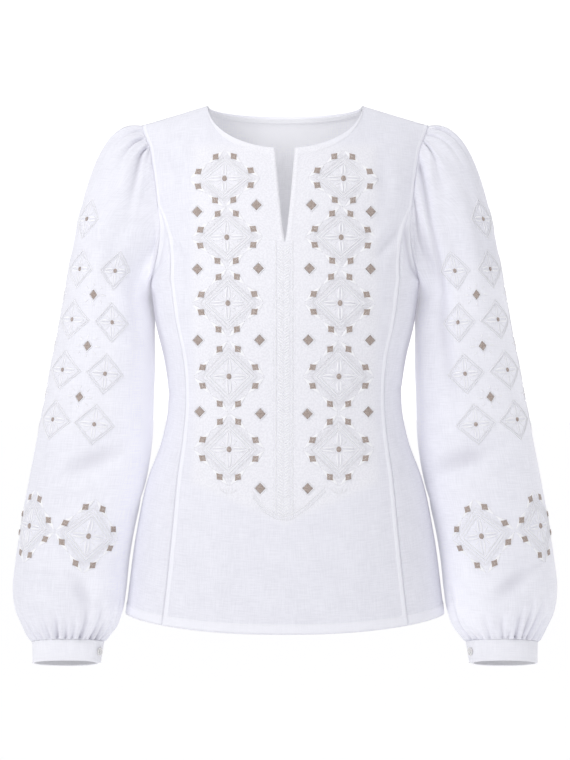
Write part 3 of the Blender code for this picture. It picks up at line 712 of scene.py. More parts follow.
# %% Soft folds as bells on the sleeve
# turn, height, half width in degrees, half length, slant (degrees of turn per metre), depth
SOFT_FOLDS = [
    (52, -0.150, 14, 0.085, 60, 0.0035),
    (96, -0.170, 12, 0.075, 40, 0.0030),
    (138, -0.230, 14, 0.090, 30, 0.0035),
    (-60, -0.160, 16, 0.090, -60, 0.0035),
    (-112, -0.200, 14, 0.080, -40, 0.0030),
    (-150, -0.440, 36, 0.014, 900, 0.0030),
    (-100, -0.462, 34, 0.012, 1700, 0.0026),
    (-40, -0.572, 36, 0.007, 900, 0.0016),
    (172, -0.530, 24, 0.060, 0, 0.0030),
    (198, -0.240, 15, 0.024, 0, -0.0062),
]
ARM_FOLDS = {
    "right": [
        (97, -0.4215, 36, 0.0150, 2500, 0.0052),
        (100, -0.4460, 34, 0.0110, 2500, -0.0020),
        (66, -0.5535, 34, 0.0045, -9000, 0.0024),
        (60, -0.5665, 26, 0.0045, -7000, 0.0022),
        (62, -0.5760, 22, 0.0045, -7000, 0.0012),
        (109, -0.5800, 13, 0.0240, -386, 0.0046),
        (127, -0.5840, 9, 0.0180, -300, -0.0024),
        (149, -0.5580, 9, 0.0220, -250, 0.0026),
    ],
    "left": [
        (122, -0.152, 9, 0.050, -121, 0.0044),
        (130, -0.126, 15, 0.034, -60, -0.0030),
        (152, -0.290, 13, 0.090, 40, -0.0030),
        (121, -0.275, 12, 0.095, 114, 0.0046),
        (114, -0.4225, 38, 0.0150, -2900, 0.0054),
        (110, -0.4470, 34, 0.0110, -2900, -0.0022),
        (82, -0.5660, 24, 0.0140, -1340, 0.0052),
        (134, -0.5650, 24, 0.0110, 1400, -0.0022),
        (124, -0.5760, 20, 0.0050, 2000, 0.0024),
        (44, -0.5440, 20, 0.0060, -1500, 0.0022),
    ],
}
UNDERARM_FOLD = {"right": (140, -0.172, 30, 0.044, 0, 0.0078),
                 "left": (140, -0.178, 30, 0.036, 0, 0.0048)}
LEVEL_SLANT = 500


def fold_field(points, folds):
    """Each fold sinks the cloth as a bell curve both round the sleeve and along it. The middle of
    a steep fold turns as it rises, and that of a nearly level one rises as it turns; both are
    given by the slant, in degrees of turn for each metre up."""
    total = np.zeros(points.shape[:2])
    for turn, height, half_turn, half_length, slant, depth in folds:
        away, up = turn_between(degrees_grid, turn), points[..., 2] - height
        if abs(slant) > LEVEL_SLANT:
            up = up - away / slant
        else:
            away = away - slant * up
        total -= depth * np.exp(-((away / half_turn) ** 2) - (up / half_length) ** 2)
    return total


# %% [markdown]
# ### Where little light reaches
# Between the arm and the side, and in the pit of the arm, the cloth stands in shade that a few
# lamps can't give softly enough, so that shade is painted. It is stored with the depth of the
# creases, so that one finish darkens both as painted shade. On both sides of the gap it is
# deepest just below the underarm.

# %% The finished sleeves
# height and share of the painted shade between arm and side
SHADE_LEVELS = np.array([(-0.500, 0.0), (-0.420, 0.2), (-0.330, 0.3), (-0.282, 1.0),
                         (-0.232, 1.0), (-0.205, 0.0)])
# painted shade on the sleeve: its depth, middle turn and spread along the inner edge, and the same
# in the pit of the arm, with its reach down from the armhole
ARM_SHADE, ARM_SHADE_TURN, ARM_SHADE_SPREAD = 0.0045, 186, 13
PIT_SHADE, PIT_TURN, PIT_SPREAD, PIT_REACH = 0.0030, 152, 32, 0.022
ARM_SHADE_SHARE = 0.70  # how much less painted shade a soft fold gets than a sharp crease
GATHER_DEPTH, GATHER_LENGTH = 1.28, 1.2
CUFF_LEVEL, CUFF_LEVEL_FADE = 0.030, 0.015  # from the cuff, where the cloth moves level only
HELD_AT_HEAD, HELD_AT_CUFF, FREE_BELOW_HEAD = 0.004, 0.003, 0.012


def shade_at(height):
    """How deep the painted shade between arm and side is at a height, from none to one."""
    return np.interp(height, *SHADE_LEVELS.T)


def finished_sleeve(side):
    """The sleeve of one side with all its creases, and its painted shade from how deep they and the
    shade lie. Near the cuff it is moved level only, so that it doesn't drop below the cuff's top
    edge."""
    outward = outward_normals(plain_sleeve)
    level = np.clip((CUFF_LEVEL - from_cuff) / CUFF_LEVEL_FADE, 0, 1)[..., None]
    outward = outward * (1, 1, 0) + outward * (0, 0, 1) * (1 - level)
    outward /= np.linalg.norm(outward, axis=-1)[..., None]
    head = crease_field(np.stack([degrees_grid, lengths], -1),
                        HEAD_PLEATS[side] + BACK_PLEATS, ring_radius)
    cuff = crease_field(np.stack([degrees_grid, from_cuff / GATHER_LENGTH], -1),
                        CUFF_GATHERS[side] + BACK_GATHERS, ring_radius) * GATHER_DEPTH
    still = np.clip(lengths / HELD_AT_HEAD, 0, 1) * np.clip(from_cuff / HELD_AT_CUFF, 0.25, 1)
    free = np.clip(lengths / FREE_BELOW_HEAD, 0, 1)
    arm = fold_field(plain_sleeve, ARM_FOLDS[side]) * free
    soft = fold_field(plain_sleeve, SOFT_FOLDS + [UNDERARM_FOLD[side]]) * free
    relief = (head + cuff + arm + soft) * still
    print(side, "sleeve: deepest crease", relief.min().round(4), "highest", relief.max().round(4))
    away = (degrees_grid - PIT_TURN) / PIT_SPREAD
    shade = PIT_SHADE * np.exp(-(away**2) - (lengths / PIT_REACH) ** 2)
    away = (degrees_grid - ARM_SHADE_TURN) / ARM_SHADE_SPREAD
    shade = shade + ARM_SHADE * shade_at(plain_sleeve[..., 2]) * np.exp(-(away**2))
    # painted shade: the shade between arm and side and in the pit, and darker creases and folds
    tone = shade - (head + cuff + arm * ARM_SHADE_SHARE) * still
    return plain_sleeve + outward * relief[..., None], tone


sleeve_grids, sleeve_shades = {}, {}
for side in ("left", "right"):
    sleeve_grids[side], sleeve_shades[side] = finished_sleeve(side)

# %% [markdown]
# ## Linen
# Linen is a plain weave of uneven yarn. Close up it is a grid of threads half a millimetre wide;
# from further away what shows is the slubs, places where a thread is thicker, which run as short
# streaks both ways. The cloth's own coordinates, in metres along and across, keep the weave in
# line with each panel. Its nap catches light at the edges, which the sheen stands for.

# %% The linen's material
THREAD, WEAVE_DEPTH = 0.00055, 0.00014
FOLD_EDGE, WORKED_EDGE = 0.0003, (-0.003, 0.012)  # how softly doubled and worked cloth begin
SHALLOW, DEEP = (0.0006, 0.0052), (0.009, 0.016)  # depths between which a crease gets painted darker, as shade
LIT_LEVELS = (-0.075, -0.012)  # the heights between which the painted light from the neck fades
DARK_LEVELS = (-0.30, -0.20)  # and those between which it goes almost out
LIT_SIDES = (0.01, 0.085)  # how far from the middle it begins and ends to weaken
# the paler colour of doubled cloth, and the colour of painted shade at the bottoms of creases
LINEN_DOUBLED, LINEN_IN_SHADE = (0.885, 0.885, 0.94), (0.48, 0.47, 0.54)
WORKED_LIGHT, WORKED_DARK = (0.858, 0.853, 0.892), (0.775, 0.770, 0.812)
# painted light: the colour of an emission for daylight through the cloth and its share everywhere,
# then its colour inside towards the sides, and the painted darkness further down
DAYLIGHT, EVERYWHERE = (0.97, 0.97, 0.985), 0.13
DAYLIGHT_ASIDE, DARKNESS = (0.62, 0.62, 0.64), 0.08


def linen_finish(name, light, dark, depth=1.0, glow=0.30, deep=0.0):
    """Plain weave: the product of two sine waves a thread apart, with streaks of noise along
    both directions, in colour and in height. Where the piece's own "doubled" value is above
    zero the cloth lies double and is paler; where "worked" is, close white stitches cover it as
    a fine grain; and "crease", a depth in metres that also holds the shade between parts,
    darkens the bottoms of the folds and those places with painted shade. glow is painted light,
    an emission for the daylight that comes through: an eighth of it everywhere, all of it where
    "through" is one. Where deep isn't zero, that painted light comes in at the neck instead: it
    weakens towards the sides, falls to the share called deep below the neck, and to almost
    nothing further down."""
    material, shader, wire = new_finish(name, {
        "Roughness": 0.9, "Sheen Weight": 0.15, "Sheen Roughness": 0.45,
        "Specular IOR Level": 0.25, "Emission Strength": glow,
    })
    # painted light: the emission's colour, by the stored "through", or inside by height
    lit = wire.stored("through").between([EVERYWHERE] * 3, DAYLIGHT)
    if deep:
        aside = wire.node("ShaderNodeSeparateXYZ", Vector=wire.node("ShaderNodeTexCoord", output=3))
        height = aside.beside(2)
        aside = wire.math("ABSOLUTE", aside).step(*LIT_SIDES).between(DAYLIGHT, DAYLIGHT_ASIDE)
        lit = height.step(*LIT_LEVELS).between([deep] * 3, aside)
        lit = height.step(*DARK_LEVELS).between([DARKNESS] * 3, lit)
    lit.feed(shader, "Emission Color")
    cloth = wire.node("ShaderNodeUVMap", {"uv_map": "cloth"})
    across = wire.node("ShaderNodeSeparateXYZ", Vector=cloth)
    along = across.beside(1)

    def streaks(stretch_across, stretch_along, detail):
        """Noise drawn out along the threads, or across them, by its two stretches."""
        place = wire.node("ShaderNodeVectorMath", {"operation": "MULTIPLY"}, __0=cloth,
                          __1=(stretch_across, stretch_along, 0))
        return wire.node("ShaderNodeTexNoise", {"noise_dimensions": "2D"}, Vector=place,
                         Scale=1.0, Detail=detail, Roughness=0.6)

    weft, warp = streaks(55, 950, 2.0), streaks(950, 48, 2.0)
    cloud = streaks(38, 34, 3.0)
    checker = (across * (math.pi / THREAD)).sine() * (along * (math.pi / THREAD)).sine()
    tone = (weft + warp) * 0.38 + cloud * 0.22 + 0.01
    single = tone.step(0.30, 0.68).between(dark, light)
    fold = wire.stored("doubled").step(-FOLD_EDGE, FOLD_EDGE)
    colour = (fold * 0.6).between(single, LINEN_DOUBLED)
    stitched, grain = wire.stored("worked").step(*WORKED_EDGE), streaks(420, 420, 1.0)
    close = grain.step(0.34, 0.66).between(WORKED_DARK, WORKED_LIGHT)
    colour = (stitched * 0.65).between(colour, close)
    # painted shade: creases and the shade between parts darken the colour
    crease = wire.stored("crease")
    shade_share = crease.step(*SHALLOW) * 0.55 + crease.step(*DEEP) * 0.45
    shade_share.between(colour, LINEN_IN_SHADE).feed(shader, "Base Color")
    height = checker * 0.35 + weft + warp + cloud * 0.5 + fold * 2.0
    height = height + grain * stitched * 3.0
    bump = wire.node("ShaderNodeBump", Height=height, Strength=0.55, Distance=WEAVE_DEPTH * depth)
    bump.feed(shader, "Normal")
    return material


# painted light on all three: an emission for daylight through the cloth
LINEN = linen_finish("white linen", (0.81, 0.81, 0.875), (0.72, 0.72, 0.785))
PRESSED = linen_finish("white linen pressed", (0.86, 0.86, 0.91), (0.80, 0.80, 0.855), depth=0.7)
# the inside, with painted light at the neck and painted darkness further down
INSIDE = linen_finish("white linen inside", (0.81, 0.81, 0.845), (0.72, 0.72, 0.755),
                      glow=0.315, deep=0.45)
print("linen:", LINEN.name, len(LINEN.node_tree.nodes), "nodes")

# %% [markdown]
# ## From grids to cloth
# Each piece of cloth becomes a mesh of one sheet, then gets its wall from Solidify, inwards, so
# that its outer face stays on the form. The wall is thinner than the plain solid's, because real
# linen is, and still thick enough for its edges to show at the neck, the slit and the hem.

# %% Meshes from grids
LINEN_WALL = 0.0008
SLEEVE_ROUND = 0.352  # how far round the flat cloth of a sleeve goes, in metres
SINGLE = -0.01  # the doubled value of cloth that lies single
SAME_POINT, WAY_ROUND = 0.00002, 0.05  # a longer step back than this closes a tube
USUAL = {"doubled": SINGLE, "worked": SINGLE, "crease": 0.0, "through": 0.0}


def grid_quads(rows, columns, closed=False):
    """Quads of a grid of points, as an array; closed joins its last column to its first."""
    index = np.arange(rows * columns).reshape(rows, columns)
    right = np.roll(index, -1, axis=1) if closed else index[:, 1:]
    left = index if closed else index[:, :-1]
    return np.stack([left[:-1], right[:-1], right[1:], left[1:]], axis=-1).reshape(-1, 4)


def flat_places(points):
    """Where each point lies in the flat cloth: metres along its row and down its column."""
    across = run_lengths(points, axis=1)
    middle = across.shape[1] // 2
    return np.stack([across - across[:, middle : middle + 1], run_lengths(points)], axis=-1)


def new_piece(name, points, faces, materials, merge=0.0, closed=False, spots=None, **values):
    """A smooth piece of the shirt that rides on its body, with its materials, a value for each
    point under each given name, and the spots of its faces' corners in the flat cloth. Points
    nearer than merge become one; the faces of a closed form are turned outwards."""
    mesh = bpy.data.meshes.new(name)
    mesh.from_pydata(points, [], faces)
    if spots is not None:
        mesh.uv_layers.new(name="cloth").data.foreach_set("uv", spots.ravel())
    for key, numbers in values.items():
        mesh.attributes.new(key, "FLOAT", "POINT").data.foreach_set("value", numbers)
    if merge:
        shape = bmesh.new()
        shape.from_mesh(mesh)
        bmesh.ops.remove_doubles(shape, verts=shape.verts, dist=merge)
        if closed:
            bmesh.ops.recalc_face_normals(shape, faces=shape.faces)
        shape.to_mesh(mesh)
        shape.free()
    for material in materials:
        mesh.materials.append(material)
    mesh.shade_smooth()
    piece = bpy.data.objects.new(name, mesh)
    bpy.context.scene.collection.objects.link(piece)
    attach(piece, BODY)
    return piece


def cloth_piece(name, node, grids, material=LINEN, slot="linen", wall=LINEN_WALL, round_by=0.0,
                flat=(), **given):
    """The piece of cloth that replaces a node: grids seen from outside, with a wall inwards. One
    that closes to a tube says how far it goes round, and flat gives the places in the flat cloth
    where rows and columns don't. The points' values are given grid by grid: doubled and worked
    are the distance inside a doubled or an embroidered part, below zero outside; crease is a
    depth, which sets the painted shade, and through is how much painted light comes through."""
    faces, places, offset = [], [], 0
    for number, grid in enumerate(grids):
        rows, columns = grid.shape[:2]
        faces.append(grid_quads(rows, columns, bool(round_by)) + offset)
        places.append((flat[number] if flat else flat_places(grid)).reshape(-1, 2))
        offset += rows * columns
    faces = np.concatenate(faces)
    spots = np.concatenate(places)[faces]
    if round_by:
        jump = spots[:, 1, 0] < spots[:, 0, 0] - WAY_ROUND
        spots[jump, 1:3, 0] += round_by
    values = {key: np.full(offset, usual) for key, usual in USUAL.items()}
    for key, parts in given.items():
        values[key] = np.concatenate([part.ravel() for part in parts])
    points = np.concatenate([grid.reshape(-1, 3) for grid in grids])
    piece = new_piece(name, points, faces.tolist(), [material, INSIDE], SAME_POINT, spots=spots,
                      **values)
    thick = piece.modifiers.new("wall", "SOLIDIFY")
    thick.thickness, thick.offset, thick.material_offset = wall, -1, 1
    thick.use_quality_normals = True
    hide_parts(node)
    return piece


def area_of(piece):
    """The area of a piece's one-layer mesh, in square metres."""
    areas = np.empty(len(piece.data.polygons))
    piece.data.polygons.foreach_get("area", areas)
    return float(areas.sum())


def mirrored_grid(grid):
    """The same grid on the other side of the body, its columns turned round to face out."""
    return (grid * (-1, 1, 1))[:, ::-1]


def both_halves(values):
    """The values of one half for both, the mirrored half's columns turned round."""
    return [values[:, ::-1], values]


# %% [markdown]
# ## Seams, hems and pressed edges
# A seam is a valley where two panels turn in, beside a faint step where the allowance lies
# underneath. A hem and a faced neckline are doubled cloth: a slightly raised band. All of these
# are small heights added to a panel by its distance to an edge.


# %% Heights from distances to an edge
def distances(grid):
    """Each point's distance along the cloth to the four edges of its grid: first and last
    column, first and last row."""
    across, along = run_lengths(grid, axis=1), run_lengths(grid)
    return across, across[:, -1:] - across, along, along[-1:] - along


def eased(share):
    """s^2 (3 - 2 s) of a share kept between 0 and 1: a climb that starts and ends softly."""
    share = np.clip(share, 0, 1)
    return share * share * (3 - 2 * share)


def band(distance, width, height, soft=0.0012):
    """A raised band next to an edge: its height up to the width, then a soft step down."""
    return height * eased((width - distance) / soft + 0.5)


def valley(distance, width, depth):
    """The turned-in edge of a seam: a bell curve with its lowest point on the edge."""
    return -depth * np.exp(-((distance / width) ** 2))


def within(*bands):
    """How far inside the nearest of some bands each point lies: the largest of width less
    distance, kept above the value of single cloth."""
    return np.maximum.reduce([np.maximum(width - distance, SINGLE) for width, distance in bands])


LEVEL_REACH = 0.02


def raised(grid, relief, side=1.0):
    """A grid moved by its relief along its normals, which lie level near the underarm, where
    rows are so close together that they could pass each other."""
    normal = outward_normals(grid, False)
    normal[..., 2] *= 1 - np.exp(-(((grid[..., 2] - UNDERARM) / LEVEL_REACH) ** 2))
    normal /= np.linalg.norm(normal, axis=-1)[..., None]
    return grid + normal * relief[..., None] * side


def top_edges(grid, top):
    """The distances to the neckline and to the shoulder seam, either of them a metre along the
    other's columns."""
    in_neck = np.arange(grid.shape[1]) <= NECK_COLUMNS
    return np.where(in_neck, top, 1.0), np.where(in_neck, 1.0, top)


def ripple(grid, amount):
    """The slight unevenness of worn linen: three long sine waves in x and z, each under half a
    millimetre high."""
    x, z = grid[..., 0], grid[..., 2]
    waves = np.sin(31 * x + 17 * z + 0.6) + np.sin(-23 * x + 39 * z + 2.0)
    return amount * (waves + 0.8 * np.sin(52 * x + 9 * z)) / 3


SEAM_BAND, RIDGE_BAND, HEM_BAND = 0.0062, 0.0062, 0.0120
NECK_BAND, BACK_NECK_BAND, SLIT_BAND = 0.0098, 0.0055, 0.0060
HEM_HIGH, FACED_HIGH, RIDGE_HIGH, RIDGE_SOFT = 0.0004, 0.00045, 0.0008, 0.0024
HEM_CALM, SHOULDER_CALM = 0.02, 0.004  # metres over which other heights rise from the edges
FRONT_RIPPLE, BACK_RIPPLE = 0.0005, 0.0007
PUCKER, PUCKER_FADE = 0.00016, 0.012


def pucker(x, z, worked):
    """The embroidered ground draws together between its motifs: two sets of short waves, that
    lean to the left and to the right as the motifs' sides do, each with a slower swell."""
    left = np.sin(330 * x + 300 * z + 0.4) * (0.65 + 0.35 * np.sin(61 * x - 83 * z))
    right = np.sin(-350 * x + 310 * z + 1.7) * (0.65 + 0.35 * np.sin(77 * x + 52 * z + 1.0))
    return PUCKER * (left + right) * np.clip(worked / PUCKER_FADE, 0, 1)


# %% Soft troughs on the panels
# start and end in x and z, half width, depth; x counts from the centre towards that side
FRONT_TROUGHS = {
    "left": [
        (0.104, -0.190, 0.139, -0.146, 0.0066, 0.0034),
        (0.114, -0.060, 0.119, -0.120, 0.0090, 0.0018),
        (0.110, -0.236, 0.132, -0.229, 0.0060, 0.0014),
    ],
    "right": [
        (0.149, -0.142, 0.110, -0.192, 0.0030, 0.0022),
        (0.150, -0.038, 0.119, -0.106, 0.0090, 0.0028),
        (0.118, -0.250, 0.138, -0.236, 0.0060, 0.0012),
    ],
}
SIDE_TROUGHS = {
    "left": [
        (0.1440, -0.140, 0.1580, -0.208, 0.0095, 0.0062),
        (0.1380, -0.203, 0.1580, -0.217, 0.0060, -0.0016),
        (0.1300, -0.345, 0.1390, -0.335, 0.0070, 0.0012),
    ],
    "right": [
        (0.1440, -0.140, 0.1580, -0.208, 0.0095, 0.0040),
        (0.1380, -0.206, 0.1580, -0.222, 0.0060, -0.0018),
        (0.1280, -0.352, 0.1390, -0.340, 0.0060, 0.0010),
    ],
}
BACK_TROUGHS = [
    (-0.100, -0.345, -0.020, -0.353, 0.0080, 0.0022),
    (0.020, -0.364, 0.115, -0.350, 0.0090, 0.0026),
    (-0.118, -0.386, -0.048, -0.393, 0.0070, 0.0018),
    (0.028, -0.402, 0.104, -0.396, 0.0080, 0.0016),
    (-0.132, -0.214, -0.084, -0.288, 0.0100, 0.0030),
    (0.130, -0.204, 0.090, -0.292, 0.0110, 0.0034),
    (-0.122, -0.128, -0.102, -0.198, 0.0120, 0.0020),
    (0.118, -0.118, 0.106, -0.186, 0.0110, 0.0022),
    (-0.058, -0.500, -0.074, -0.592, 0.0140, 0.0022),
    (0.088, -0.482, 0.084, -0.596, 0.0150, 0.0024),
]


TROUGH_RIDGE, TROUGH_RIDGE_AT = 0.35, 1.9


def trough_field(grid, troughs, *edges, fade=0.008):
    """How far soft troughs push a panel out. Across a trough the cloth sinks as a bell,
    exp(-v^2), with a low ridge at 1.9 half widths on both sides; along it the depth rises and
    falls as exp(-u^4). It fades to nothing next to the given edges."""
    x, z = grid[..., 0], grid[..., 2]
    total = np.zeros(x.shape)
    for x0, z0, x1, z1, width, depth in troughs:
        run = math.hypot(x1 - x0, z1 - z0)
        share = ((x - x0) * (x1 - x0) + (z - z0) * (z1 - z0)) / run**2
        away = np.abs((x - x0) * (z1 - z0) - (z - z0) * (x1 - x0)) / run / width
        bell = np.exp(-(away**2)) - TROUGH_RIDGE * np.exp(-((away - TROUGH_RIDGE_AT) ** 2))
        total -= depth * bell * np.exp(-(((share - 0.5) / 0.44) ** 4))
    for distance in edges:
        total *= eased(distance / fade)
    return total


DIP_SHADE_SHARE = 0.65  # how much less painted shade such a soft dip gets than a sharp crease
# painted shade for the arm's shadow on the side: its depth, and its reach from the side seam
SIDE_SHADE, SIDE_SHADE_REACH = 0.016, 0.032


def side_shade(grid, seam):
    """The painted shade for the shadow that the arm casts on the side, as a crease's depth: a
    bell curve of the distance from the side seam, by height."""
    return SIDE_SHADE * shade_at(grid[..., 2]) * np.exp(-((seam / SIDE_SHADE_REACH) ** 2))


print("troughs:", sum(len(troughs) for troughs in FRONT_TROUGHS.values()) + len(BACK_TROUGHS))

# %% The front
WORK_REACH, WORK_TOP, WORK_SLOPE = 0.1120, -0.0480, 0.42


def front_worked(x, z):
    """How far inside the embroidered part a point of the front lies: within a reach of the
    centre line, below the neckline, and above two lines that slope to a point at the bottom."""
    low = -0.4980 + WORK_SLOPE * np.abs(x)
    return np.maximum(np.minimum.reduce([WORK_REACH - np.abs(x), WORK_TOP - z, z - low]), SINGLE)


ground = front_worked(front_grid[..., 0], front_grid[..., 2])
first, last, hem, top = distances(front_grid)
slit_open = front_grid[:, :1, 0] > 1e-6
neck_edge, shoulder_edge = top_edges(front_grid, top)
front_relief = (
    valley(last, 0.0008, 0.0007)
    + band(last, RIDGE_BAND, RIDGE_HIGH, RIDGE_SOFT)
    + band(hem, HEM_BAND, HEM_HIGH)
    + band(neck_edge, NECK_BAND, FACED_HIGH)
    + np.where(slit_open, band(first, SLIT_BAND, FACED_HIGH), 0)
    + ripple(front_grid, FRONT_RIPPLE) * np.clip(hem / HEM_CALM, 0, 1)
    + pucker(front_grid[..., 0], front_grid[..., 2], ground)
)
front_relief *= np.clip(shoulder_edge / SHOULDER_CALM, 0, 1)
front_half = raised(front_grid, front_relief)
# each half of the front, and the painted shade of its soft dips
front_halves, front_dip_shades = {}, {}
for word, troughs in FRONT_TROUGHS.items():
    dip = trough_field(front_grid, troughs, last)
    front_halves[word] = raised(front_grid, front_relief + dip)
    front_dip_shades[word] = -dip * DIP_SHADE_SHARE
fold = within((RIDGE_BAND, last), (HEM_BAND, hem), (NECK_BAND, neck_edge))
fold = np.maximum(fold, np.where(slit_open, SLIT_BAND - first, SINGLE))
grids = [mirrored_grid(front_halves["right"]), front_halves["left"]]
dip_shades = [front_dip_shades["right"][:, ::-1], front_dip_shades["left"]]
front = cloth_piece("linen_front", "front", grids, doubled=both_halves(fold),
                    worked=both_halves(ground), crease=dip_shades)
print("front:", round(area_of(front), 4), "m2,", len(front.data.polygons), "quads")

# %% The side fronts
first, last, hem, top = distances(side_grid)
side_relief = (
    valley(first, 0.0013, 0.0010)
    + valley(last, 0.0010, 0.0006)
    + band(last, SEAM_BAND, 0.00025)
    + band(hem, HEM_BAND, HEM_HIGH)
    + ripple(side_grid, FRONT_RIPPLE) * np.clip(hem / HEM_CALM, 0, 1)
)
side_relief *= np.clip((first + last) / 0.012, 0, 1) * np.clip(top / 0.006, 0, 1)
side_half = raised(side_grid, side_relief)
fold = within((SEAM_BAND, last), (HEM_BAND, hem))
side_fronts = []
for word in ("left", "right"):
    dip = trough_field(side_grid, SIDE_TROUGHS[word], first, last, fade=0.004)
    grid, inside = raised(side_grid, side_relief + dip), fold
    # painted shade: the arm's shadow by the side seam, and the soft dips darkened
    dip = side_shade(side_grid, last) - dip * DIP_SHADE_SHARE
    if word == "right":
        grid, inside, dip = mirrored_grid(grid), inside[:, ::-1], dip[:, ::-1]
    side_fronts.append(cloth_piece(f"linen_side_front_{word}", f"side_front_{word}", [grid],
                                   doubled=[inside], crease=[dip]))
print("side front:", round(area_of(side_fronts[0]), 4), "m2")

# %% The back
first, last, hem, top = distances(back_grid)
neck_edge, shoulder_edge = top_edges(back_grid, top)
back_relief = (
    valley(last, 0.0010, 0.0006)
    + band(last, SEAM_BAND, 0.0003)
    + band(hem, HEM_BAND, HEM_HIGH)
    + band(neck_edge, BACK_NECK_BAND, HEM_HIGH)
    + ripple(back_grid, BACK_RIPPLE) * np.clip(hem / HEM_CALM, 0, 1)
)
back_relief *= np.clip(shoulder_edge / SHOULDER_CALM, 0, 1)
back_half = raised(back_grid, back_relief, -1.0)
# each half of the back, and its painted shade: the arm's shadow by the side seam, and the soft dips
# darkened
back_halves, back_dip_shades = [], []
for mirror in (-1, 1):
    dip = trough_field(back_grid * (mirror, 1, 1), BACK_TROUGHS, last, neck_edge)
    back_halves.append(raised(back_grid, back_relief + dip, -1.0))
    back_dip_shades.append(side_shade(back_grid, last) - dip * DIP_SHADE_SHARE)
fold = within((SEAM_BAND, last), (HEM_BAND, hem), (BACK_NECK_BAND, neck_edge))
grids = [back_halves[1][:, ::-1], back_halves[0] * (-1, 1, 1)]
back = cloth_piece("linen_back", "back", grids, doubled=both_halves(fold),
                   crease=[back_dip_shades[1][:, ::-1], back_dip_shades[0]])
print("back:", round(area_of(back), 4), "m2")

# %% The sleeves' places in the flat cloth, and where they are worked
HANG_FROM, HANG_FADE = -0.10, 0.06  # below this height the weave hangs straight


def sleeve_places(grid):
    """Places in the flat sleeve: round it by the turn about its own upright axis, and down it by
    height, so that the weave hangs straight; on top of the head, where that axis comes through,
    by the grid's own columns and lengths instead."""
    down = eased((HANG_FROM - grid[..., 2]) / HANG_FADE)
    ring = sleeve_ring(np.minimum(grid[:, :1, 2], HEAD_END), TURNS)
    centre = ring.mean(axis=1, keepdims=True)
    half = (ring.max(axis=1, keepdims=True) - ring.min(axis=1, keepdims=True)) / 2
    offset = (grid - centre) / np.maximum(half, 1e-6)
    own = turn_between(degrees_grid, 0)
    turn = np.degrees(np.arctan2(-offset[..., 1], offset[..., 0]))
    mixed = own + turn_between(turn, own) * down
    level = lengths - lengths[HEAD_ROWS] - HEAD_END
    return np.stack([mixed / 360 * SLEEVE_ROUND, level * (1 - down) - grid[..., 2] * down], -1)


WORK_TURNS, WORK_LEVELS = (-88, 118), (-0.408, -0.176)
WORK_FADE, WORK_SHARE = (14, 0.018), 0.0125  # in degrees and metres


def sleeve_worked(grid):
    """Where the upper sleeve is covered with close stitches between its lozenges: a window of
    turns and heights with soft borders, as the worked value."""
    turn, height = turn_between(degrees_grid, 0), grid[..., 2]
    inside = np.minimum(turn - WORK_TURNS[0], WORK_TURNS[1] - turn) / WORK_FADE[0]
    level = np.minimum(height - WORK_LEVELS[0], WORK_LEVELS[1] - height) / WORK_FADE[1]
    return SINGLE + WORK_SHARE * eased(np.minimum(inside, level))


# %% The sleeves
# the middle turn and the spread of three bells, where painted light stands for daylight through a
# sleeve
ROUND_INSIDE, INNER_EDGE, OUTSIDE = (158.0, 54.0), (186.0, 27.0), (30.0, 42.0)
LIGHT_LEVELS, LIGHT_FADES = (-0.18, -0.66), (0.05, 0.08)
ELBOW, EDGE_FADE, EDGE_LEFT = (0.45, 0.56), (0.36, 0.44), 0.15  # how far below the neck
# strength of the painted light above and below the elbow, along the inner edge and outside
THROUGH = {"left": (0.32, 0.52, 1.0, 0.28), "right": (0.70, 0.56, 0.70, 0.0)}


def light_through(grid, upper, lower, edge, outside):
    """How much painted light, for daylight that comes through, each place of a sleeve gets: bell
    curves of the turn, one down the inside, one along its edge and one outside, that fade at the
    head and at the cuff."""
    low = -grid[..., 2]
    bells = [np.exp(-((turn_between(degrees_grid, middle) / spread) ** 2))
             for middle, spread in (ROUND_INSIDE, INNER_EDGE, OUTSIDE)]
    light = np.interp(low, ELBOW, (upper, lower)) * bells[0] + outside * bells[2]
    light = light + edge * np.interp(low, EDGE_FADE, (1.0, EDGE_LEFT)) * bells[1]
    top, end = LIGHT_LEVELS[0] + low, -low - LIGHT_LEVELS[1]
    return light * np.clip(top / LIGHT_FADES[0], 0, 1) * np.clip(end / LIGHT_FADES[1], 0, 1)


sleeves = []
# each sleeve with its painted shade, and its painted light through the cloth
for word in ("left", "right"):
    grid, crease, flat = sleeve_grids[word], sleeve_shades[word], sleeve_places(sleeve_grids[word])
    if word == "right":
        grid, crease, flat = mirrored_grid(grid), crease[:, ::-1], flat[:, ::-1] * (-1, 1)
    light, worked = light_through(grid, *THROUGH[word]), sleeve_worked(grid)
    if word == "right":
        light, worked = light[:, ::-1], worked[:, ::-1]
    sleeves.append(cloth_piece(f"linen_sleeve_{word}", f"sleeve_{word}", [grid], flat=[flat],
                               round_by=SLEEVE_ROUND, crease=[crease], through=[light],
                               worked=[worked]))
print("sleeve:", round(area_of(sleeves[0]), 4), "m2")

# %% [markdown]
# ## Cuffs
# A cuff is a strip of linen folded in two over a stiffer layer, so it stands by itself. It goes
# once round the wrist, laps over its own end and is held by one button. Its folded edge is
# rounded and a line of stitching runs close to it.

# %% The cuffs
CUFF_HEIGHT, CUFF_WALL = 0.0245, 0.0021
CUFF_HALF_WIDTHS, CUFF_HALF_DEPTHS = (0.0414, 0.0392), (0.0313, 0.0298)
CUFF_SHIFT, CUFF_LAP_TURN, CUFF_LAP = (0.0015, -0.0052), 174.0, 33.0
CUFF_SOLID = 0.0022
LAP_LIFT, LAP_RISE = CUFF_SOLID + 0.0010, 24  # metres, and the degrees over which it is lifted
CUFF_COLUMNS, CUFF_ROWS = 150, 22


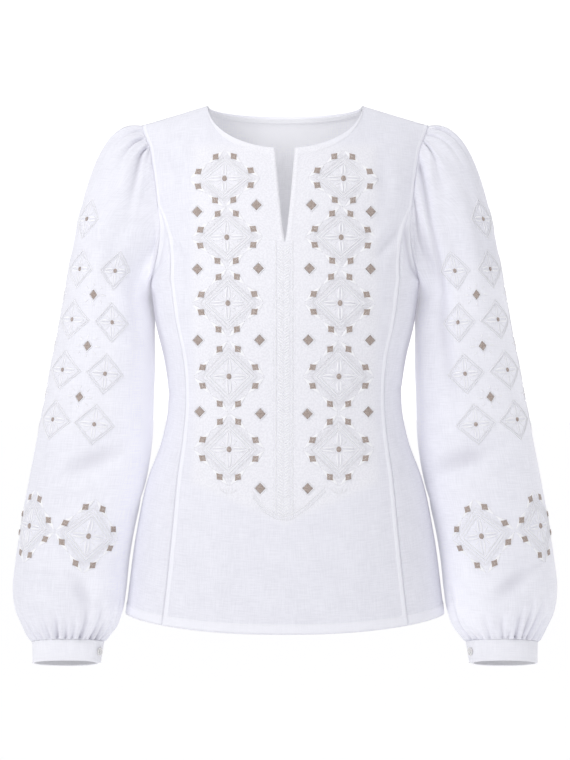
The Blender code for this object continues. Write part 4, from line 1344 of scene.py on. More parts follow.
def cuff_ring(share, turns, outwards):
    """Points round the cuff at a share of its height from the top, moved outwards."""
    ring = SLEEVE[-1]
    centre_x = (ring[INNER_X] + ring[OUTER_X]) / 2 + CUFF_SHIFT[0] * share
    half_width = np.interp(share, (0, 1), CUFF_HALF_WIDTHS) + outwards
    half_depth = np.interp(share, (0, 1), CUFF_HALF_DEPTHS) + outwards
    ahead = -half_depth * np.sin(turns)
    x = centre_x + half_width * np.cos(turns)
    z = ring[RING_Z] - CUFF_HEIGHT * share - ring[PLANE_SLOPE] * ahead
    return np.stack([x, ring[CENTRE_Y] + CUFF_SHIFT[1] * share + ahead, z], axis=-1)


def cuff_points():
    """The cuff's outer face: rings from its top to its bottom, over one turn and the lap, which
    is lifted clear of the end below it."""
    degrees = np.linspace(CUFF_LAP_TURN - 360 - CUFF_LAP, CUFF_LAP_TURN, CUFF_COLUMNS)
    lift = LAP_LIFT * np.clip((degrees - CUFF_LAP_TURN + CUFF_LAP + LAP_RISE) / LAP_RISE, 0, 1)
    share = np.linspace(0, 1, CUFF_ROWS)[:, None]
    turns = np.radians(degrees)[None] * np.ones_like(share)
    return cuff_ring(share, turns, lift[None]), degrees


cuff_grid, cuff_degrees = cuff_points()
cuffs = []
for word, grid in (("left", cuff_grid), ("right", mirrored_grid(cuff_grid))):
    cuffs.append(cloth_piece(f"linen_cuff_{word}", f"cuff_{word}", [grid], PRESSED,
                             "doubled_linen", CUFF_WALL))
print("cuff:", round(area_of(cuffs[0]), 4), "m2")

# %% The facing inside the back neck
FACING_HEIGHT, FACING_WALL, FACING_INSET = 0.0075, 0.0007, 0.0021
FACING_TOP, FACING_ROWS, NEAR_NECK = 0.0004, 8, 40  # the back's last rows hold the facing's place


def facing_points():
    """The back's own columns from the neck edge down, moved inwards past the back's wall."""
    down = np.linspace(FACING_HEIGHT, FACING_TOP, FACING_ROWS)
    runs = back_grid[: -NEAR_NECK - 1 : -1, : NECK_COLUMNS + 1].transpose(1, 0, 2)
    points = np.stack([points_at(down, run_lengths(run), run) for run in runs], axis=1)
    inward = -outward_normals(points, False)
    inward *= np.sign(-inward[..., 1:2])
    points = points + inward * FACING_INSET
    points[:, 0, 0] = 0.0
    return points


facing_half = facing_points()
grids = [facing_half[:, ::-1], facing_half * (-1, 1, 1)]
facing = cloth_piece("neck_facing_linen", "neck_facing", grids, PRESSED, "doubled_linen",
                     FACING_WALL)
print("facing:", round(area_of(facing), 5), "m2")

CUTS = (  # pieces, the flat sides of each in metres, and how they are held
    ([front], (0.34, 0.66), "hung"), (side_fronts, (0.12, 0.50), "hung"),
    ([back], (0.52, 0.68), "hung"), (sleeves, (0.42, 0.64), "gathered"),
    (cuffs, (0.25, 0.025), "folded"), ([facing], (0.20, 0.010), "folded"),
)
for pieces, flat, held in CUTS:
    for piece in pieces:
        area = area_of(piece)
        print(piece.name, flat, round(area / (flat[0] * flat[1]), 3))
        min(area, flat[0] * flat[1])

# %% [markdown]
# ## Embroidery: one stitch shape for everything
# The white work is satin stitch: threads laid side by side until they stand up from the linen as
# a smooth, rounded bar. As a shape, such a bar is a spindle, thin at both ends, and so is a single
# stitch, a petal or a bead. One function makes them all in a flat design, and a second one lays
# the design on the cloth, as a worker would who draws it on the linen first.

# %% Spindles in a flat design
LEAF = ((0.10, 0.35, 0.65, 0.90), (0.52, 0.95, 0.95, 0.52), (0.6, 1.0, 1.0, 0.6))
BAR = ((0.04, 0.30, 0.70, 0.96), (0.75, 1.0, 1.0, 0.75), (0.7, 1.0, 1.0, 0.7))
BEAD = ((0.07, 0.28, 0.50, 0.72, 0.93), (0.51, 0.90, 1.0, 0.90, 0.51), (0.5, 0.9, 1.0, 0.9, 0.5))
RIBBON = ((0.10, 0.28, 0.50, 0.72, 0.90), (0.20, 0.66, 1.0, 0.66, 0.20), (0.5, 0.9, 1.0, 0.9, 0.5))
STITCH = ((0.12, 0.88), (0.85, 0.85), (0.9, 0.9))
SUNK, FOOT = 0.30, -0.0001  # how much of a spindle lies in the cloth, and how far its ends do


def spindles(start, end, width, height, kind=LEAF, around=8, bow=0.0):
    """Closed spindles from starts to ends, both (count, 2). At each share of its length a
    spindle is an ellipse, as wide and as high as its kind says, with its lower side flattened.
    bow bends it aside as a parabola."""
    start, end = np.atleast_2d(start), np.atleast_2d(end)
    count = len(start)
    width, height, bow = (np.broadcast_to(v, count).astype(float) for v in (width, height, bow))
    share, wide, high = (np.array(row) for row in kind)
    angle = np.linspace(0, 2 * math.pi, around, endpoint=False)
    run = end - start
    length = np.linalg.norm(run, axis=1)[:, None]
    side = np.stack([-run[:, 1], run[:, 0]], axis=1) / length
    beside = wide[:, None] * np.cos(angle) / 2
    aside = width[:, None, None] * beside
    aside = aside + (bow[:, None] * length * 4 * share * (1 - share))[..., None]
    flat = (
        start[:, None, None]
        + run[:, None, None] * share[:, None, None]
        + side[:, None, None] * aside[..., None]
    )
    up = height[:, None, None] * high[:, None] * np.maximum(np.sin(angle), -SUNK)
    rings = np.concatenate([flat, up[..., None]], axis=-1).reshape(count, -1, 3)
    low = np.full((count, 1, 1), FOOT)
    ends = [np.concatenate([place[:, None], low], axis=-1) for place in (start, end)]
    points = np.concatenate([ends[0], rings, ends[1]], axis=1)
    return points, spindle_faces(len(share), around)


def spindle_faces(rings, around):
    """The faces of one spindle: quads between its rings, and a fan of triangles at each end,
    whose fourth corner is -1."""
    index = 1 + np.arange(rings * around).reshape(rings, around)
    step = np.roll(index, -1, axis=1)
    quads = np.stack([index[:-1], step[:-1], step[1:], index[1:]], axis=-1).reshape(-1, 4)
    last = rings * around + 1
    none = np.full(around, -1)
    first_fan = np.stack([np.zeros(around, int), step[0], index[0], none], axis=-1)
    last_fan = np.stack([np.full(around, last), index[-1], step[-1], none], axis=-1)
    return np.concatenate([quads, first_fan, last_fan])


def joined(parts):
    """Many sets of spindles as one list of points and one of faces."""
    points, faces, offset = [], [], 0
    for shapes, pattern in parts:
        count, each = shapes.shape[:2]
        shift = (offset + each * np.arange(count))[:, None, None]
        faces.append(np.where(pattern < 0, -1, pattern + shift).reshape(-1, 4))
        points.append(shapes.reshape(-1, 3))
        offset += count * each
    return np.concatenate(points), np.concatenate(faces)


QUARTERS = np.array([(1, 1), (-1, 1), (-1, -1), (1, -1)])


def mirror_four(start, end):
    """Starts and ends repeated in all four quarters of a design."""
    return [(np.atleast_2d(v)[None] * QUARTERS[:, None]).reshape(-1, 2) for v in (start, end)]


def lozenge(x, y):
    """The closed outline of a lozenge, from its top, by its half width and half height."""
    return np.array([(0, y), (x, 0), (0, -y), (-x, 0), (0, y)])


print("a leaf has", len(spindle_faces(4, 8)), "faces")


# %% Lines of stitches
def rope(path, pitch, length, width, height, slant=25.0):
    """A line worked in short slanting stitches, like a twisted rope: the path is walked in equal
    steps, and at each one a small spindle crosses it at the slant."""
    at = run_lengths(path)
    count = max(2, int(round(at[-1] / pitch)))
    middle = (np.arange(count) + 0.5) * at[-1] / count
    place = points_at(middle, at, path)
    ahead = points_at(middle + 1e-5, at, path) - place
    ahead /= np.linalg.norm(ahead, axis=1)[:, None]
    c, s = math.cos(math.radians(slant)), math.sin(math.radians(slant))
    half = length / 2 * (ahead @ np.array([(c, s), (-s, c)]))
    return spindles(place - half, place + half, width, height, STITCH, around=5)


SEED_LENGTH, SEED_WIDTH, SEED_HIGH = 0.0016, 0.0007, 0.00045


def seeds(half, pitch, keep):
    """Seed stitches: tiny stitches on a staggered lattice over a rectangle of the given halves,
    kept where keep(x, y) is true. Each next one is turned further, by 2.4 radians."""
    x, y = np.meshgrid(*(np.arange(-reach, reach, pitch) for reach in half))
    x = x + np.arange(len(x))[:, None] % 2 * pitch / 2
    place = np.stack([x.ravel(), y.ravel()], axis=1)
    place = place[keep(*place.T)]
    turn = 2.4 * np.arange(len(place))
    place = place + 0.22 * pitch * np.stack([np.cos(1.7 * turn), np.sin(2.3 * turn)], axis=1)
    run = SEED_LENGTH / 2 * np.stack([np.cos(turn), np.sin(turn)], axis=1)
    return spindles(place - run, place + run, SEED_WIDTH, SEED_HIGH, STITCH, around=4)


# reach and height of a square's rings, and the steps round them
STAR_RINGS, STAR_STEPS = np.array(((1.0, 0.0), (0.93, 0.75), (0.72, 1.0), (0.34, 0.86))), 24


def stars(centres, half, lean, height, hollow, lift=0.0):
    """Squares of satin stitch seen corner up: the outline is |u|^p + |v|^p = 1 with p = hollow,
    so below 1 its sides curve inwards; half holds the two half diagonals, and lean turns the
    first of them, in degrees. Grooves run to the corners, where four blocks of thread meet."""
    centres = np.atleast_2d(centres)
    lean = np.radians(np.broadcast_to(lean, len(centres)).astype(float))[:, None, None]
    angle = np.arange(STAR_STEPS) * (2 * math.pi / STAR_STEPS)
    c, s = np.cos(angle), np.sin(angle)
    reach = (np.abs(c) ** hollow + np.abs(s) ** hollow) ** (-1 / hollow)
    share, high = STAR_RINGS[:, :1], STAR_RINGS[:, 1:]
    u, v = share * reach * c * half[0], share * reach * s * half[1]
    block = 0.45 + 0.55 * np.abs(np.sin(2 * angle)) ** 0.6
    z = height * high * block + lift
    flat_x = u * np.cos(lean) - v * np.sin(lean) + centres[:, None, None, 0]
    flat_y = u * np.sin(lean) + v * np.cos(lean) + centres[:, None, None, 1]
    rings = np.stack([flat_x, flat_y, np.broadcast_to(z, flat_x.shape)], axis=-1)
    rings = rings.reshape(len(centres), -1, 3)
    bottom = np.insert(centres, 2, lift + FOOT, axis=1)[:, None]
    middle = bottom + (0, 0, height * 0.5)
    faces = spindle_faces(len(STAR_RINGS), STAR_STEPS)
    return np.concatenate([bottom, rings, middle], axis=1), faces


# %% [markdown]
# ### One medallion
# The medallion is an old geometric motif: a lozenge whose outline runs through eight small
# squares, a double lozenge inside it, and a cross of four split petals round a knot. All of it is
# symmetrical, so only one quarter is drawn.

# %% The medallion's design, in metres from its centre
MEDALLION_HALF = (0.0420, 0.0424)
SQUARES = np.array([(0.0106, 0.0318), (0.0307, 0.0108)])
SMALL_HALF = (0.0059, 0.0045)
RIBBON_HIGH, TAUPE_HIGH = 0.0011, 0.0009
UNEVEN_LEAN = np.array((-6, 9, 5, -9, -3, 8, 7, -5))  # degrees, as eight squares turn by hand
LOZENGES = ((0.0232, 0.0017, 0.0010), (0.0276, 0.0017, 0.0009), (0.0326, 0.0010, 0.0004))
# for each lozenge above: the reach of its corner, the width and the height of its line


def medallion_white(half=MEDALLION_HALF, squares=SQUARES):
    """The white work of a medallion: ribbons that are widest where they pass under the squares,
    lozenges one inside another, four split petals, and short strokes between them."""
    tips = np.array([(0.0003, half[1] - 0.0004), (half[0] - 0.0004, 0.0003)])
    pinch = squares.mean(axis=0)
    parts = []
    for tip in tips:
        parts.append(spindles(*mirror_four(tip, pinch), 0.0072, RIBBON_HIGH, RIBBON, around=10))
    tall = half[1] / MEDALLION_HALF[1]
    for reach, width, high in LOZENGES:
        x, y = reach, reach * tall
        parts.append(rope(lozenge(x, y), 0.0016, 0.0023, width, high))
    arms = (
        ((0.0034, 0.0020), (0.0196, 0.0012), 0.0026, 0.02),
        ((0.0018, 0.0038), (0.0007, 0.0208 * tall), 0.0023, -0.04),
    )
    for start, end, width, bend in arms:
        starts, ends = mirror_four(start, end)
        bows = bend * np.array([1, -1, 1, -1])
        parts.append(spindles(starts, ends, width, 0.0018, bow=bows))
    start, end = np.array((0.0042, 0.0046)), np.array((0.0092, 0.0098 * tall))
    parts.append(spindles(*mirror_four(start, end), 0.0016, 0.0009, around=6))
    for x, y in ((0.0150, 0.0036), (0.0052, 0.0138), (0.0112, 0.0044), (0.0048, 0.0104)):
        start = np.array((x, y * tall))
        parts.append(spindles(*mirror_four(start, start + 0.0013), 0.0008, 0.0006, BAR, around=5))

    def between_lines(x, y):
        reach = np.abs(x) / half[0] + np.abs(y) / half[1]
        return (reach > 0.70) & (reach < 0.93)

    parts.append(seeds(half, 0.0022, between_lines))
    return parts


def medallion_taupe(squares=SQUARES):
    """The taupe work: eight small squares that lean with their ribbons, and the knot."""
    centres = np.concatenate([squares * sign for sign in QUARTERS])
    lean = np.repeat([-45.0, 45.0, -45.0, 45.0], 2) + UNEVEN_LEAN
    small = stars(centres, SMALL_HALF, lean, TAUPE_HIGH, 0.88, RIBBON_HIGH * 0.6)
    return [small, spindles((0, -0.0034), (0, 0.0034), 0.0058, 0.0021, BEAD, around=12)]


def moved(parts, spots):
    """The same parts repeated at each spot of a design."""
    made = []
    for shapes, pattern in parts:
        shift = np.insert(spots, 2, 0.0, axis=1)[:, None, None]
        made.append(((shapes[None] + shift).reshape(-1, *shapes.shape[1:]), pattern))
    return made


white_faces = sum(len(shapes) * len(pattern) for shapes, pattern in medallion_white())
print("white work of a medallion:", white_faces, "faces")

# %% [markdown]
# ## Thread
# Embroidery cotton is smoother and whiter than the linen, with a soft shine. A fine ribbing across
# each bar stands for its strands. The taupe thread is duller. Both are painted darker at the foot,
# where they go into the linen, as shade from their neighbours, and the white one has a faint
# painted glow for the light inside it.


# %% The threads' materials
STRAND, FOOT_SHADE_RISE = 0.0006, (-0.0001, 0.0006)  # metres; the heights between which the painted shade of a foot ends


def thread_finish(name, light, dark, foot, roughness, sheen, glow=0.0):
    """Satin stitch: a sine wave of ridges one strand apart, with a noise that changes the shade
    from stitch to stitch. foot is the colour of the painted shade low down, where its
    neighbours shade a stitch: "rise" is the height over the cloth in metres. glow is painted
    light, an emission that stands for the light that goes from thread to thread inside a white
    stitch."""
    material, shader, wire = new_finish(name, {
        "Roughness": roughness, "Sheen Weight": sheen, "Sheen Roughness": 0.35,
        "Specular IOR Level": 0.35, "Emission Color": (*light, 1), "Emission Strength": glow,
    })
    place = wire.node("ShaderNodeTexCoord", output=3)
    sideways = wire.node("ShaderNodeSeparateXYZ", Vector=place)
    ribs = ((sideways + sideways.beside(2) * 0.7) * (2 * math.pi / STRAND)).sine()
    shade = wire.node("ShaderNodeTexNoise", Vector=place, Scale=900.0, Detail=2.0)
    colour = (shade + ribs * 0.12).step(0.25, 0.75).between(dark, light)
    wire.stored("rise").step(*FOOT_SHADE_RISE).between(foot, colour).feed(shader, "Base Color")
    bump = wire.node("ShaderNodeBump", Height=ribs * 0.5 + shade, Strength=0.5, Distance=0.00012)
    bump.feed(shader, "Normal")
    return material


# each thread: light and dark colours, the colour of the painted shade low down, roughness and
# sheen; the white one with a painted glow
WHITE_THREAD = thread_finish("white cotton thread", (0.93, 0.93, 0.955), (0.87, 0.87, 0.905),
                             (0.69, 0.68, 0.72), 0.55, 0.1, glow=0.02)
TAUPE_THREAD = thread_finish("taupe thread", (0.53, 0.455, 0.42), (0.30, 0.235, 0.205),
                             (0.24, 0.19, 0.17), 0.65, 0.1)
print("threads:", WHITE_THREAD.name, TAUPE_THREAD.name)


# %% Lay a design on the cloth
def stitched_piece(name, points, faces, rise, material):
    """Stitches as one piece; rise holds the height of each point over the cloth."""
    corners = [[c for c in face if c >= 0] for face in faces.tolist()]
    piece = new_piece(name, points, corners, [material], rise=rise)
    print(name, len(corners), "faces")
    return piece


def embroidery_piece(name, parts, surface, material, side=1, lift=0.0):
    """All the stitches of one thread as one piece: each point stands over its place on the
    cloth, by its height along the cloth's normal. Low close work, whose feet hardly show, gets
    less painted shade, as if it stood higher by lift. side is -1 for the mirror image."""
    points, faces = joined(parts)
    ground, normal = surface(points[:, 0], points[:, 1])
    placed = (ground + normal * points[:, 2:3]) * (side, 1, 1)
    return stitched_piece(name, placed, faces[:, ::side], points[:, 2] + lift, material)


# %% [markdown]
# ## The front's embroidery
# Two columns of five medallions run down from the neckline, one on each side of the slit, tip to
# tip. Larger taupe squares stand on their corners in the gaps. Between the columns a narrow band
# of chevrons hangs from the slit, and a lace-like line closes the whole in a blunt point.

# %% Where the front's motifs lie
MEDALLION_X = np.array([0.0693, 0.0661, 0.0648, 0.0638, 0.0636])
MEDALLION_Z = np.array([-0.0940, -0.1639, -0.2402, -0.3249, -0.4094])
DIAMOND_HALF = (0.0061, 0.0063)
DESIGN_X = -0.0012  # worked by hand, the design isn't quite centred


def front_spots(xs, zs):
    """The same spots on both sides of the design's centre line."""
    xs = np.asarray(xs)
    return np.concatenate([np.stack([side * xs + DESIGN_X, zs], axis=1) for side in (-1, 1)])


medallions = front_spots(MEDALLION_X, MEDALLION_Z)
diamonds_in = front_spots([0.0318, 0.0294, 0.0280, 0.0272, 0.0274],
                          [-0.1262, -0.2003, -0.2828, -0.3682, -0.4540])
diamonds_out = front_spots([0.1010, 0.1005, 0.1000, 0.0985],
                           [-0.1330, -0.2003, -0.2828, -0.3660])
print("medallions:", len(medallions), "diamonds:", len(diamonds_in) + len(diamonds_out))


def front_cloth(x, z):
    """The front as it is sewn on: the form's points and normals, with the cloth's ripple."""
    ground, normal = torso_front(x, z)
    lift = ripple(np.stack([np.abs(x), x, z], axis=-1), FRONT_RIPPLE)
    lift = lift + pucker(np.abs(x), z, front_worked(x, z))
    return ground + normal * lift[:, None], normal


# %% The front's white and taupe work
BORDER_GAP = 0.0013


def diamond_parts(spots, half=DIAMOND_HALF):
    """Taupe squares on their corners, stretched to their half width and height, and their white
    borders."""
    taupe = stars(spots, half, 0.0, 0.0010, 0.96)
    border = rope(lozenge(*(np.array(half) + BORDER_GAP)), 0.0015, 0.0021, 0.0015, 0.0011, 14)
    return [taupe], moved([border], spots)


def medallions_at(spots, heights):
    """Medallions whose pitch changes down the column: each is stretched to its own height."""
    white, taupe = [], []
    for spot, tall in zip(spots, heights):
        stretch = tall / MEDALLION_HALF[1]
        squares = SQUARES * (1, stretch)
        shape = medallion_white((MEDALLION_HALF[0], tall), squares)
        white += moved(shape, spot[None])
        taupe += moved(medallion_taupe(squares), spot[None])
    return white, taupe


def sprig_below():
    """A tuft of five leaves and a loop under the lowest medallion."""
    left = np.array([(-0.0085, -0.0025, -0.0060, -0.0070), (-0.0040, -0.0022, -0.0022, -0.0092),
                     (0.0, -0.0020, 0.0, -0.0060)])
    leaves = np.concatenate([left, left[1::-1] * (-1, 1, -1, 1)])
    arc = np.linspace(-1, 1, 13)
    line = np.stack([0.0105 * arc, -0.0030 - 0.0055 * (1 - arc**2)], axis=1)
    return [spindles(leaves[:, :2], leaves[:, 2:], 0.0013, 0.0006, around=6),
            rope(line, 0.0018, 0.0014, 0.0008, 0.0005, 50)]


half_heights = np.array([0.0350, 0.0366, 0.0402, 0.0424, 0.0424])
white_parts, taupe_parts = medallions_at(medallions, np.tile(half_heights, 2))
rows = len(half_heights)
lowest = medallions[rows - 1 :: rows] - (0, half_heights[-1])
white_parts += moved(sprig_below(), lowest)
taupe_diamonds, white_borders = diamond_parts(np.concatenate([diamonds_in, diamonds_out]))
white_parts += white_borders
embroidery_piece("front_medallions_white", white_parts, front_cloth, WHITE_THREAD)
taupe_parts += taupe_diamonds
embroidery_piece("front_squares_taupe", taupe_parts, front_cloth, TAUPE_THREAD)


# %% The centre band and the closing line
BAND_HALF, BAND_TOP, BAND_END = 0.0097, -0.1735, -0.4850


def chevrons(centre_x, half, top, end, pitch, drop):
    """A column of chevrons: two mirrored slanting bars at every pitch."""
    z = np.arange(top, end, -pitch)
    starts, ends = [], []
    for side in (-1, 1):
        starts.append(np.stack([np.full_like(z, centre_x + side * half), z], axis=1))
        ends.append(np.stack([np.full_like(z, centre_x), z - drop], axis=1))
    return spindles(np.concatenate(starts), np.concatenate(ends), 0.0014, 0.00045, BAR, around=6)


def design_line(*corners, steps=12):
    """Points of the design along a line through its corners, given from the design's centre."""
    spans = len(corners) - 1
    at = np.linspace(0, spans, steps * spans + 1)
    return points_at(at, np.arange(spans + 1), np.array(corners) + (DESIGN_X, 0))


band_parts = [chevrons(DESIGN_X, 0.0070, BAND_TOP, BAND_END, pitch=0.0034, drop=0.0042)]
band_middle = (BAND_TOP + BAND_END) / 2
grains = seeds((BAND_HALF, (BAND_TOP - BAND_END) / 2), 0.0023, lambda x, y: np.abs(x) > 0.0012)
band_parts += moved([grains], np.array([(DESIGN_X, band_middle)]))
for side, slant, pitch, length, width in (
    (-1, 8, 0.0024, 0.0030, 0.0015), (1, 26, 0.0030, 0.0046, 0.0014),
):
    edge = side * BAND_HALF
    line = design_line((edge, BAND_TOP + 0.006), (edge, BAND_END - 0.001), steps=30)
    band_parts.append(rope(line, pitch, length, width, 0.0009, slant))
    edge = edge * 1.30
    line = design_line((edge, BAND_TOP - 0.050), (edge, BAND_END - 0.001), steps=30)
    band_parts.append(rope(line, 0.0034, 0.0024, 0.0008, 0.0005, 35 * side))

# %% The line that closes the point
CLOSING = (  # offsets inwards, pitch, length, width, height and slant of each row of stitches
    (0.0, 0.0022, 0.0026, 0.0014, 0.0009, 35),
    (0.0024, 0.0028, 0.0014, 0.0009, 0.0005, 80),
    (0.0052, 0.0020, 0.0024, 0.0013, 0.0008, -20),
)
for inwards, pitch, length, width, high, slant in CLOSING:
    up = np.array([(0, inwards)])
    low = up + design_line((-0.0120, -0.4872), (-0.0055, -0.4896), (0.0, -0.4905),
                           (0.0055, -0.4896), (0.0120, -0.4872), steps=8)
    left = up + design_line((-0.0120, -0.4872), (-0.0250, -0.4790), (-0.0360, -0.4640))
    right = up + design_line((0.0120, -0.4872), (0.0250, -0.4790), (0.0480, -0.4570))
    for line, tilt in ((low, slant), (left, -slant), (right, slant)):
        band_parts.append(rope(line, pitch, length, width, high, tilt))
# less painted shade at the feet of the band's low stitches
BAND_SHADE_LIFT = 0.0010
embroidery_piece("front_band_white", band_parts, front_cloth, WHITE_THREAD, lift=BAND_SHADE_LIFT)

# %% [markdown]
# ## The sleeves' embroidery
# The same motifs, smaller, are strewn over the upper sleeve in a lattice of lozenges, and a band
# of large medallions goes round the sleeve above the cuff. Their upright axis follows the
# sleeve's own grain, which leans outwards as the arm does.

# %% Find a place on the sleeve
SWAY_LEVELS, SWAY = (-0.51, -0.20), (0.0100, 0.0030)
UPRIGHT_SHARE = 0.985  # how much of a design's height is left where the sleeve leans


def sleeve_radius(height):
    """The sleeve's mean radius at a height: the mean of its half width and half depth."""
    at = max(-height, -HEAD_END)
    half = (SLEEVE[:, OUTER_X] - SLEEVE[:, INNER_X]) / 2 + SLEEVE[:, HALF_DEPTH]
    return float(np.interp(at, -SLEEVE[:, RING_Z], half / 2))


def sleeve_surface(grid):
    """A function that finds points and normals of a finished sleeve at turns in degrees and at
    heights, blended from the four nearest points where the sleeve first drops that low."""
    normals = outward_normals(grid)

    def surface(turn, height):
        column = (turn % 360) / 360 * SLEEVE_COLUMNS
        left = np.floor(column).astype(int) % SLEEVE_COLUMNS
        right, across = (left + 1) % SLEEVE_COLUMNS, column - np.floor(column)
        profile = grid[:, left, 2] * (1 - across) + grid[:, right, 2] * across
        row = np.maximum((profile < height).argmax(axis=0), 1)
        spot = np.arange(len(turn))
        over, under = profile[row - 1, spot], profile[row, spot]
        down = np.clip((over - height) / (over - under), 0, 1)[:, None]
        across = across[:, None]

        def blend(field):
            upper = field[row - 1, left] * (1 - across) + field[row - 1, right] * across
            lower = field[row, left] * (1 - across) + field[row, right] * across
            return upper * (1 - down) + lower * down

        normal = blend(normals)
        return blend(grid), normal / np.linalg.norm(normal, axis=-1)[:, None]

    return surface


def sleeve_parts(parts, turn, height):
    """A flat design placed on the sleeve: metres to the right become degrees of turn, metres up
    become height, and the grain's sway tips the design as it goes round."""
    radius = sleeve_radius(height)
    sway = float(np.interp(height, SWAY_LEVELS, SWAY))
    made = []
    for shapes, pattern in parts:
        placed = shapes.copy()
        placed[..., 0] = turn - np.degrees(shapes[..., 0] / radius)
        lean = sway * np.cos(np.radians(placed[..., 0]))
        placed[..., 1] = height + shapes[..., 1] * UPRIGHT_SHARE + lean
        made.append((placed, pattern))
    return made


print("sleeve radius at the elbow:", round(sleeve_radius(-0.40), 4))

# %% The small lozenge of the upper sleeve
def lozenge_white(half):
    """A double outline of fine rope stitches round four split petals; the level petals are the
    fuller ones, and thin lines run from the knot towards the sides."""
    parts = []
    for inset, width, high in ((0.0, 0.0014, 0.0013), (0.0030, 0.0010, 0.0009)):
        x, y = half[0] - inset, half[1] - inset * 1.2
        parts.append(rope(lozenge(x, y), 0.0015, 0.0021, width, high))
    arms = (
        ((0.0020, 0.0015), (half[0] * 0.72, 0.0006), 0.0027, 0.0016, 0.08),
        ((0.0010, 0.0030), (0.0004, half[1] * 0.80), 0.0016, 0.0010, -0.07),
    )
    for start, end, width, high, bend in arms:
        starts, ends = mirror_four(start, end)
        bows = bend * np.array([1, -1, 1, -1])
        parts.append(spindles(starts, ends, width, high, bow=bows))
    start, end = np.array((0.0032, 0.0040)), np.array(half) * 0.40
    parts.append(spindles(*mirror_four(start, end), 0.0010, 0.0006, BAR, around=6))
    for share in (0.34, 0.52, 0.70):
        place = np.array((half[0] * share * 0.55, half[1] * (0.80 - share * 0.55)))
        parts.append(spindles(*mirror_four(place, place + (0.0012, 0.0002)), 0.0006, 0.0004, STITCH,
                              around=5))
    return parts


def sprig_white(reach=0.0162):
    """Four small leaves that point away from a diamond, the level ones longer, and four specks
    between them."""
    ways = np.array([(1, 0), (-1, 0), (0, 1), (0, -1)])
    specks = QUARTERS[[0, 1, 3, 2]] * (0.0074, 0.0064)
    return [spindles(ways * (0.0088, 0.0100), ways * (reach, 0.0136), 0.0021, 0.0012),
            spindles(specks, specks * 1.55, 0.0014, 0.0009, around=6)]


KNOT = [spindles((0, -0.0027), (0, 0.0027), 0.0045, 0.0019, BEAD, around=10)]
print("small lozenge:", sum(len(shapes) for shapes, _ in lozenge_white((0.02, 0.023))), "stitches")

# %% All the work of one sleeve
LOZENGE_ROWS = (  # level, half width and half height, then the turns of the four columns
    (-0.1996, (0.0198, 0.0228), (103.5, 46.5, -8, -62)),
    (-0.2602, (0.0210, 0.0234), (101.0, 46.5, -8, -62)),
    (-0.3209, (0.0222, 0.0238), (97.0, 45.0, -8, -61)),
    (-0.3810, (0.0232, 0.0240), (91.5, 43.0, -9, -60)),
    (-0.1402, (0.0200, 0.0234), (40.0, -12.0)),
)
WIDER = {46.5: 1.30, 45.0: 1.24, 43.0: 1.18, 40.0: 1.25}  # the second column is worked wider
DIAMOND_ROWS = ((-0.2292, (77, 7, -36)), (-0.2900, (74, 7, -35)), (-0.3508, (72.5, 7, -35)))
BAND_TURNS, BAND_LEVEL = (106, 38, -33, -106), -0.5090
BAND_MEDALLION_HALF = (0.0405, 0.0440)
# less painted shade at the feet of the sleeves' stitches
SLEEVE_SHADE_LIFT = 0.0001

sleeve_white, sleeve_taupe = [], []
for level, half, turns in LOZENGE_ROWS:
    for turn in turns:
        wide = (half[0] * WIDER.get(turn, 1.0), half[1])
        sleeve_white += sleeve_parts(lozenge_white(wide), turn, level)
        sleeve_taupe += sleeve_parts(KNOT, turn, level)
one_diamond, one_border = diamond_parts(np.zeros((1, 2)), (0.0048, 0.0060))
for level, turns in DIAMOND_ROWS:
    for turn in turns:
        sleeve_white += sleeve_parts(sprig_white() + one_border, turn, level)
        sleeve_taupe += sleeve_parts(one_diamond, turn, level)
print("upper sleeve:", sum(len(turns) for _, _, turns in LOZENGE_ROWS), "lozenges")

# %% The band above the cuff
band_white, band_taupe = [], []
band_squares = SQUARES * (BAND_MEDALLION_HALF[0] / MEDALLION_HALF[0],
                          BAND_MEDALLION_HALF[1] / MEDALLION_HALF[1])
for turn in BAND_TURNS:
    shape = medallion_white(BAND_MEDALLION_HALF, band_squares)
    band_white += sleeve_parts(shape, turn, BAND_LEVEL)
    band_taupe += sleeve_parts(medallion_taupe(band_squares), turn, BAND_LEVEL)
SIDES = {"left": 1, "right": -1}
SLEEVE_WORK = (("lozenges_white", sleeve_white, WHITE_THREAD),
               ("band_white", band_white, WHITE_THREAD),
               ("squares_taupe", sleeve_taupe + band_taupe, TAUPE_THREAD))
for word, side in SIDES.items():
    on_sleeve = sleeve_surface(sleeve_grids[word])
    for what, parts, thread in SLEEVE_WORK:
        embroidery_piece(f"sleeve_{what}_{word}", parts, on_sleeve, thread, side, SLEEVE_SHADE_LIFT)

# %% [markdown]
# ## Lines of topstitching
# The hem, the neckline, the slit and the cuffs are held down by rows of machine stitches near
# their edges. A row is a path on the cloth with small spindles along it, which dip into the linen
# at both ends.


# %% Stitches along a path
def line_on(grid, distance, sign):
    """The line across a grid at a distance along the cloth from its first row, found in every
    column by straight interpolation between two rows, with the grid's normals there."""
    along = run_lengths(grid)
    row = np.clip((along < distance).sum(axis=0), 1, len(grid) - 1)
    column = np.arange(grid.shape[1])
    low, high = along[row - 1, column], along[row, column]
    share = ((distance - low) / np.maximum(high - low, 1e-9))[:, None]
    line = grid[row - 1, column] * (1 - share) + grid[row, column] * share
    return line, outward_normals(grid, False)[row, column] * sign


def path_cloth(points, normals):
    """A strip of cloth along a path: metres beside the path and metres along it."""
    at = run_lengths(points)
    ahead = np.gradient(points, axis=0)
    ahead /= np.linalg.norm(ahead, axis=1)[:, None]
    beside = np.cross(ahead, normals)

    def surface(across, along):
        point, out, side = (points_at(along, at, rows) for rows in (points, normals, beside))
        return point + side * across[..., None], out

    return surface, at[-1]


STITCH_SHADE_RISE = 0.0002  # machine thread is tight and thin, so less of it gets painted shade


